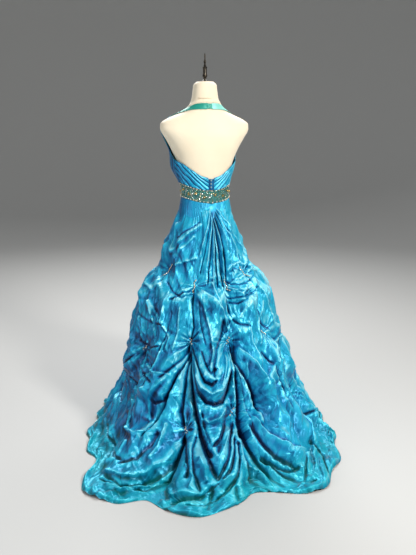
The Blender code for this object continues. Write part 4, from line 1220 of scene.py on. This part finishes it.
def makeBodiceFront(side, name, node):
    # A cup between its outer and inner edge, lifted to the waistband's edge at its foot.
    across, up = np.meshgrid(
        np.linspace(0, 1, bodiceFront["columns"]), np.linspace(0, 1, bodiceFront["rows"])
    )
    table = np.array(frontEdges)
    knots = np.linspace(0, 1, len(table))
    outer, outerHeight, inner, innerHeight = (smoothCurve(up, knots, row) for row in table.T)
    gap = bodiceFront["gap"]
    bearings = (outer + gap) * (1 - across) + (inner - gap) * across
    heights = outerHeight * (1 - across) + innerHeight * across
    waist = fromRows(bearings[0], bandEdges, 0, 2) + seamGap
    lift = np.clip(1 - up / bodiceFront["waistShare"], 0, 1)
    heights = heights * (1 - lift) + np.maximum(heights, waist) * lift
    heights[0] = waist
    fade = np.clip((1 - up) / bodiceFront["strapShare"], 0, 1)
    rise = pleatRise(across, up, bodiceFront) * fade
    stand = clothGap + clothWall + bodiceFront["ease"] * (0.3 + 0.7 * np.sin(np.pi * across))
    bearings, heights, rise = onSide(side, bearings, heights, rise)
    points = onForm(bearings, heights, stand + sideRise(bearings, heights) + rise)
    clothPiece(name, points, taffeta, node, hollowOf(rise))


# Each strip's shade value is an even painted shade over it, which the taffeta reads.
placket = {
    "halfWidth": 0.0065, "lower": 1.068, "upper": 1.116, "thick": 0.0016, "shade": 0.75,
    "flat": (0.026, 0.048),
}
tab = {
    "halfWidth": 0.0055, "lower": 1.414, "upper": 1.436, "thick": 0.0014, "shade": 0.3,
    "flat": (0.022, 0.022),
}
strip = {"columns": 16, "rows": 40}


def makeStrip(name, sizes, finish, node):
    # An upright strip at the centre back, with two soft folds down it.
    middle = formSurface(0.0, (sizes["lower"] + sizes["upper"]) / 2)
    reach = math.degrees(sizes["halfWidth"] / float(np.linalg.norm(middle[:2])))
    across, heights = np.meshgrid(
        np.linspace(-1, 1, strip["columns"]),
        np.linspace(sizes["lower"], sizes["upper"], strip["rows"]),
    )
    rise = sizes["thick"] * (0.75 + 0.25 * np.cos(across * np.pi * 1.5))
    rise = rise + 0.0003 * latticeNoise(across * 2, heights * 150, 9)
    points = onForm(across * reach, heights, clothGap + clothWall + rise)
    # An even painted shade over the whole strip.
    shade = np.full(rise.shape, sizes["shade"])
    clothPiece(name, points, finish, node, shade)


neckband = {
    "columns": 150, "rows": 18, "crown": 0.0007, "uneven": 0.0005, "pucker": 0.0008,
    "flat": (0.190, 0.050), "area": 0.0055,
}


def makeNeckband(side, name, node, finish):
    # A crowned band with faint unevenness, and puckers next to its fastening.
    near = math.degrees(tab["halfWidth"] / 0.062) + 0.4
    bearings, up = np.meshgrid(
        np.linspace(near, neckEdges[-1][0], neckband["columns"]),
        np.linspace(0, 1, neckband["rows"]),
    )
    low, high = (fromRows(bearings, neckEdges, 0, n) for n in (1, 2))
    heights = low + (high - low) * up
    crown = np.sin(np.pi * up)
    rise = neckband["crown"] * crown**0.5
    rise = rise + neckband["uneven"] * latticeNoise(bearings / 9, up * 2.5, 12) * crown
    rise = rise + neckband["pucker"] * np.exp(-(((bearings - near) / 5) ** 2)) * np.cos(up * 9)
    bearings, heights, rise = onSide(side, bearings, heights, rise)
    points = onForm(bearings, heights, clothGap + clothWall + rise)
    clothPiece(name, points, finish, node)


def ballsPiece(name, centres, radii, finish, fine):
    # Many small balls as one mesh: each is a copy of an icosphere's corners and faces.
    ball = bmesh.new()
    bmesh.ops.create_icosphere(ball, subdivisions=2 if fine else 1, radius=1.0)
    mesh = bpy.data.meshes.new("ball")
    ball.to_mesh(mesh)
    ball.free()
    corners, faces = np.empty(len(mesh.vertices) * 3), np.empty(len(mesh.loops), int)
    mesh.vertices.foreach_get("co", corners)
    mesh.loops.foreach_get("vertex_index", faces)
    bpy.data.meshes.remove(mesh)
    corners, faces = corners.reshape(-1, 3), faces.reshape(-1, 3)
    points = centres[:, None, :] + np.broadcast_to(radii, len(centres))[:, None, None] * corners
    faces = faces + (np.arange(len(centres)) * len(corners))[:, None, None]
    piece = meshPiece(name, points, [faces.reshape(-1, 3)], finish)
    onRoot(piece)
    return piece


coverEdge = {
    "columns": 160, "rows": 14, "lower": 0.0030, "upper": 0.0190, "thick": 0.0030,
    "lowest": 1.405, "marks": 1.458, "markRadius": 0.0013, "hooks": (1.421, 1.429),
    "hookRadius": 0.0017,
}


def makeCoverEdge():
    # The jersey cover's own folded edge round the neck, with stitches at the back, and the
    # two beads of the neckband's hook.
    turn, up = np.meshgrid(
        np.arange(coverEdge["columns"]) * 360 / coverEdge["columns"] - 180,
        np.linspace(0, 1, coverEdge["rows"]),
    )
    top = fromRows(np.minimum(np.abs(turn), neckEdges[-1][0]), neckEdges, 0, 2)
    top = np.maximum(top, coverEdge["lowest"])
    heights = top + coverEdge["lower"] + (coverEdge["upper"] - coverEdge["lower"]) * up
    rise = coverEdge["thick"] * np.sqrt(np.clip(1 - (2 * up - 1) ** 2, 0, 1))
    rise = rise + 0.0005 * latticeNoise(turn / 7 + 40, up * 2, 15) + 0.0004
    points = onForm(turn, heights, rise)
    onRoot(gridPiece("coverEdge", points, None, jersey, wrap=True))
    marks = np.linspace(-44, 6, 13)
    places = onForm(marks, coverEdge["marks"] + 0.0012 * np.cos(marks), 0.0022)
    ballsPiece("coverMarks", places, coverEdge["markRadius"], goldBead, False)
    hook = onForm(np.zeros(2), np.array(coverEdge["hooks"]), 0.0075)
    ballsPiece("neckHook", hook, coverEdge["hookRadius"], silverBead, True)


band = {
    "columns": 200, "rows": 22, "lift": 0.0012, "radius": 0.105, "end": 0.03,
    "seedStep": 0.0031, "edges": (0.07, 0.93), "stoneStep": 0.040, "ring": (0.0072, 0.128),
    "scroll": 0.0155, "scattered": 1200, "flat": (0.335, 0.075), "area": 0.0200,
}
beadKinds = {  # finish, radius, fine
    "pearl": (pearlBead, 0.0030, True),
    "gold": (goldBead, 0.0015, False),
    "silver": (silverBead, 0.0014, False),
    "teal": (tealBead, 0.0013, False),
    "stone": (goldBead, 0.0050, True),
}


def onBand(bearing, up, out):
    # Points over the waistband: up is 0 at its lower edge and 1 at its upper edge.
    turn = np.abs(wrapped(bearing))
    low, high = (fromRows(turn, bandEdges, 0, n) for n in (1, 2))
    return onForm(bearing, low + (high - low) * up, clothGap + clothWall + out)


def bandBeads(low, high, seed):
    # Pearls along both edges, stones ringed with beads along the middle, scrolls between them,
    # and seeds scattered over the rest; places are a bearing and a share of the height.
    wide = math.radians(high - low) * band["radius"]
    random = np.random.default_rng(seed)
    groups = {kind: [] for kind in beadKinds}

    def put(kind, metres, up):
        groups[kind].append((low + (high - low) * metres / wide, up))

    for edge in band["edges"]:
        for n, metres in enumerate(np.arange(0.006, wide - 0.004, band["seedStep"])):
            if n % 5 == 2:
                put("pearl", metres, edge + (0.02 if edge > 0.5 else -0.02))
            else:
                put(("silver", "gold", "silver", "teal")[n % 4], metres, edge)
    ringWide, ringTall = band["ring"]
    for n, metres in enumerate(np.arange(0.020, wide - 0.014, band["stoneStep"])):
        up = 0.5 + 0.10 * (-1) ** n
        put("stone", metres, up)
        kind = "gold" if n % 2 else "silver"
        for turn in np.arange(0, 2 * np.pi, np.pi / 6):
            put(kind, metres + ringWide * math.sin(turn), up + ringTall * math.cos(turn))
        for step in np.linspace(0, 1, 26):
            curl = 0.4 + step * 5.2
            reach = band["scroll"] * (1 - step) ** 0.7 + 0.001
            for way in (-1, 1):
                x = way * (band["stoneStep"] * 0.40 + reach * math.sin(curl) * 0.62)
                y = 0.5 + way * (0.10 + 18 * reach * math.cos(curl) * 0.62)
                put("silver" if step < 0.5 else "teal", metres + x, min(max(y, 0.12), 0.88))
    across = random.uniform(0.003, wide - 0.003, band["scattered"])
    up = random.uniform(0.10, 0.90, band["scattered"])
    kinds = random.integers(0, 4, band["scattered"])
    for x, y, kind in zip(across, up, kinds):
        put(("silver", "teal", "gold", "teal")[kind], x, y)
    return {kind: np.array(places) for kind, places in groups.items()}


def makeWaistband(name, node, low, high, seed):
    # The net, a little uneven, under beads of slightly different sizes.
    for kind, places in bandBeads(low, high, seed).items():
        finish, radius, fine = beadKinds[kind]
        centres = onBand(places[:, 0], places[:, 1], band["lift"] + radius * 0.55)
        radii = radius * np.random.default_rng(seed + 9).uniform(0.8, 1.1, len(centres))
        ballsPiece(f"{name}_{kind}", centres, radii, finish, fine)
    bearings, up = np.meshgrid(
        np.linspace(low + band["end"], high - band["end"], band["columns"]),
        np.linspace(0, 1, band["rows"]),
    )
    metres = np.radians(bearings) * band["radius"]
    rise = band["lift"] + 0.0004 * latticeNoise(metres / 0.012 + 50, up * 5, seed)
    points = onBand(bearings, up, rise)
    clothPiece(name, points, net, node)


catchBeads = {  # finish, radius
    "silver": (silverBead, 0.0022),
    "gold": (goldBead, 0.0022),
    "pearl": (pearlBead, 0.0028),
}
catchString = {
    "upperFrom": 0.6, "upper": (20, 0.030), "lower": (9, 0.012),  # beads, half length
    "slant": 0.6, "turn": 0.5, "bend": 0.004, "arc": 0.0052,
}


def stringBeads():
    # Short strings of beads over each catch, longest in the upper row.
    groups = {kind: [] for kind in catchBeads}
    kinds = tuple(catchBeads)
    for number, (at, level, _, _, _) in enumerate(pickups):
        random = np.random.default_rng(300 + number)
        count, half = catchString["upper" if level > catchString["upperFrom"] else "lower"]
        slant = random.uniform(-catchString["turn"], catchString["turn"])
        if abs(at) > 30:
            slant += catchString["slant"] * (1 if at > 0 else -1)
        for n, step in enumerate(np.linspace(-1, 1, count)):
            across = slant * half * step + catchString["bend"] * math.sin(step * 5 + number)
            place = (at + across / catchString["arc"], runOf(level) + half * step)
            groups[kinds[(n + number) % 3 if n % 4 else 2]].append(place)
    steps = np.linspace(0, 1, 801)
    runs = runAt(steps)
    for kind, (finish, radius) in catchBeads.items():
        lay, run = np.array(groups[kind]).T
        share = np.interp(run, runs, steps)
        points = skirtSurface((lay + trainBearing)[None, :], share[None, :])[0][0]
        away = points * (1, 1, 0)
        away /= np.linalg.norm(away, axis=-1, keepdims=True)
        centres = points + away * radius * 0.8
        ballsPiece(f"catchBeads_{kind}", centres, radius, finish, False)


makeBodiceBack(1, "bodiceBackRight", "bodice_back_right")
makeBodiceBack(-1, "bodiceBackLeft", "bodice_back_left")
makeBodiceFront(1, "bodiceFrontRight", "bodice_front_right")
makeBodiceFront(-1, "bodiceFrontLeft", "bodice_front_left")
makeStrip("backPlacket", placket, taffeta, "back_placket")
makeStrip("neckTab", tab, satin, "neck_tab")
# The right neckband takes the satin's painted-light copy.
makeNeckband(1, "neckbandRight", "neckband_right", satinPaintedLit)
makeNeckband(-1, "neckbandLeft", "neckband_left", satin)
makeCoverEdge()
makeWaistband("waistbandBack", "waistband_back", -90, 90, 1)
makeWaistband("waistbandFront", "waistband_front", 90, 270, 2)
stringBeads()
paintNodes(("button_1", "button_2", "button_3"), buttonPearl)
print("bodice, bands and beads are made")
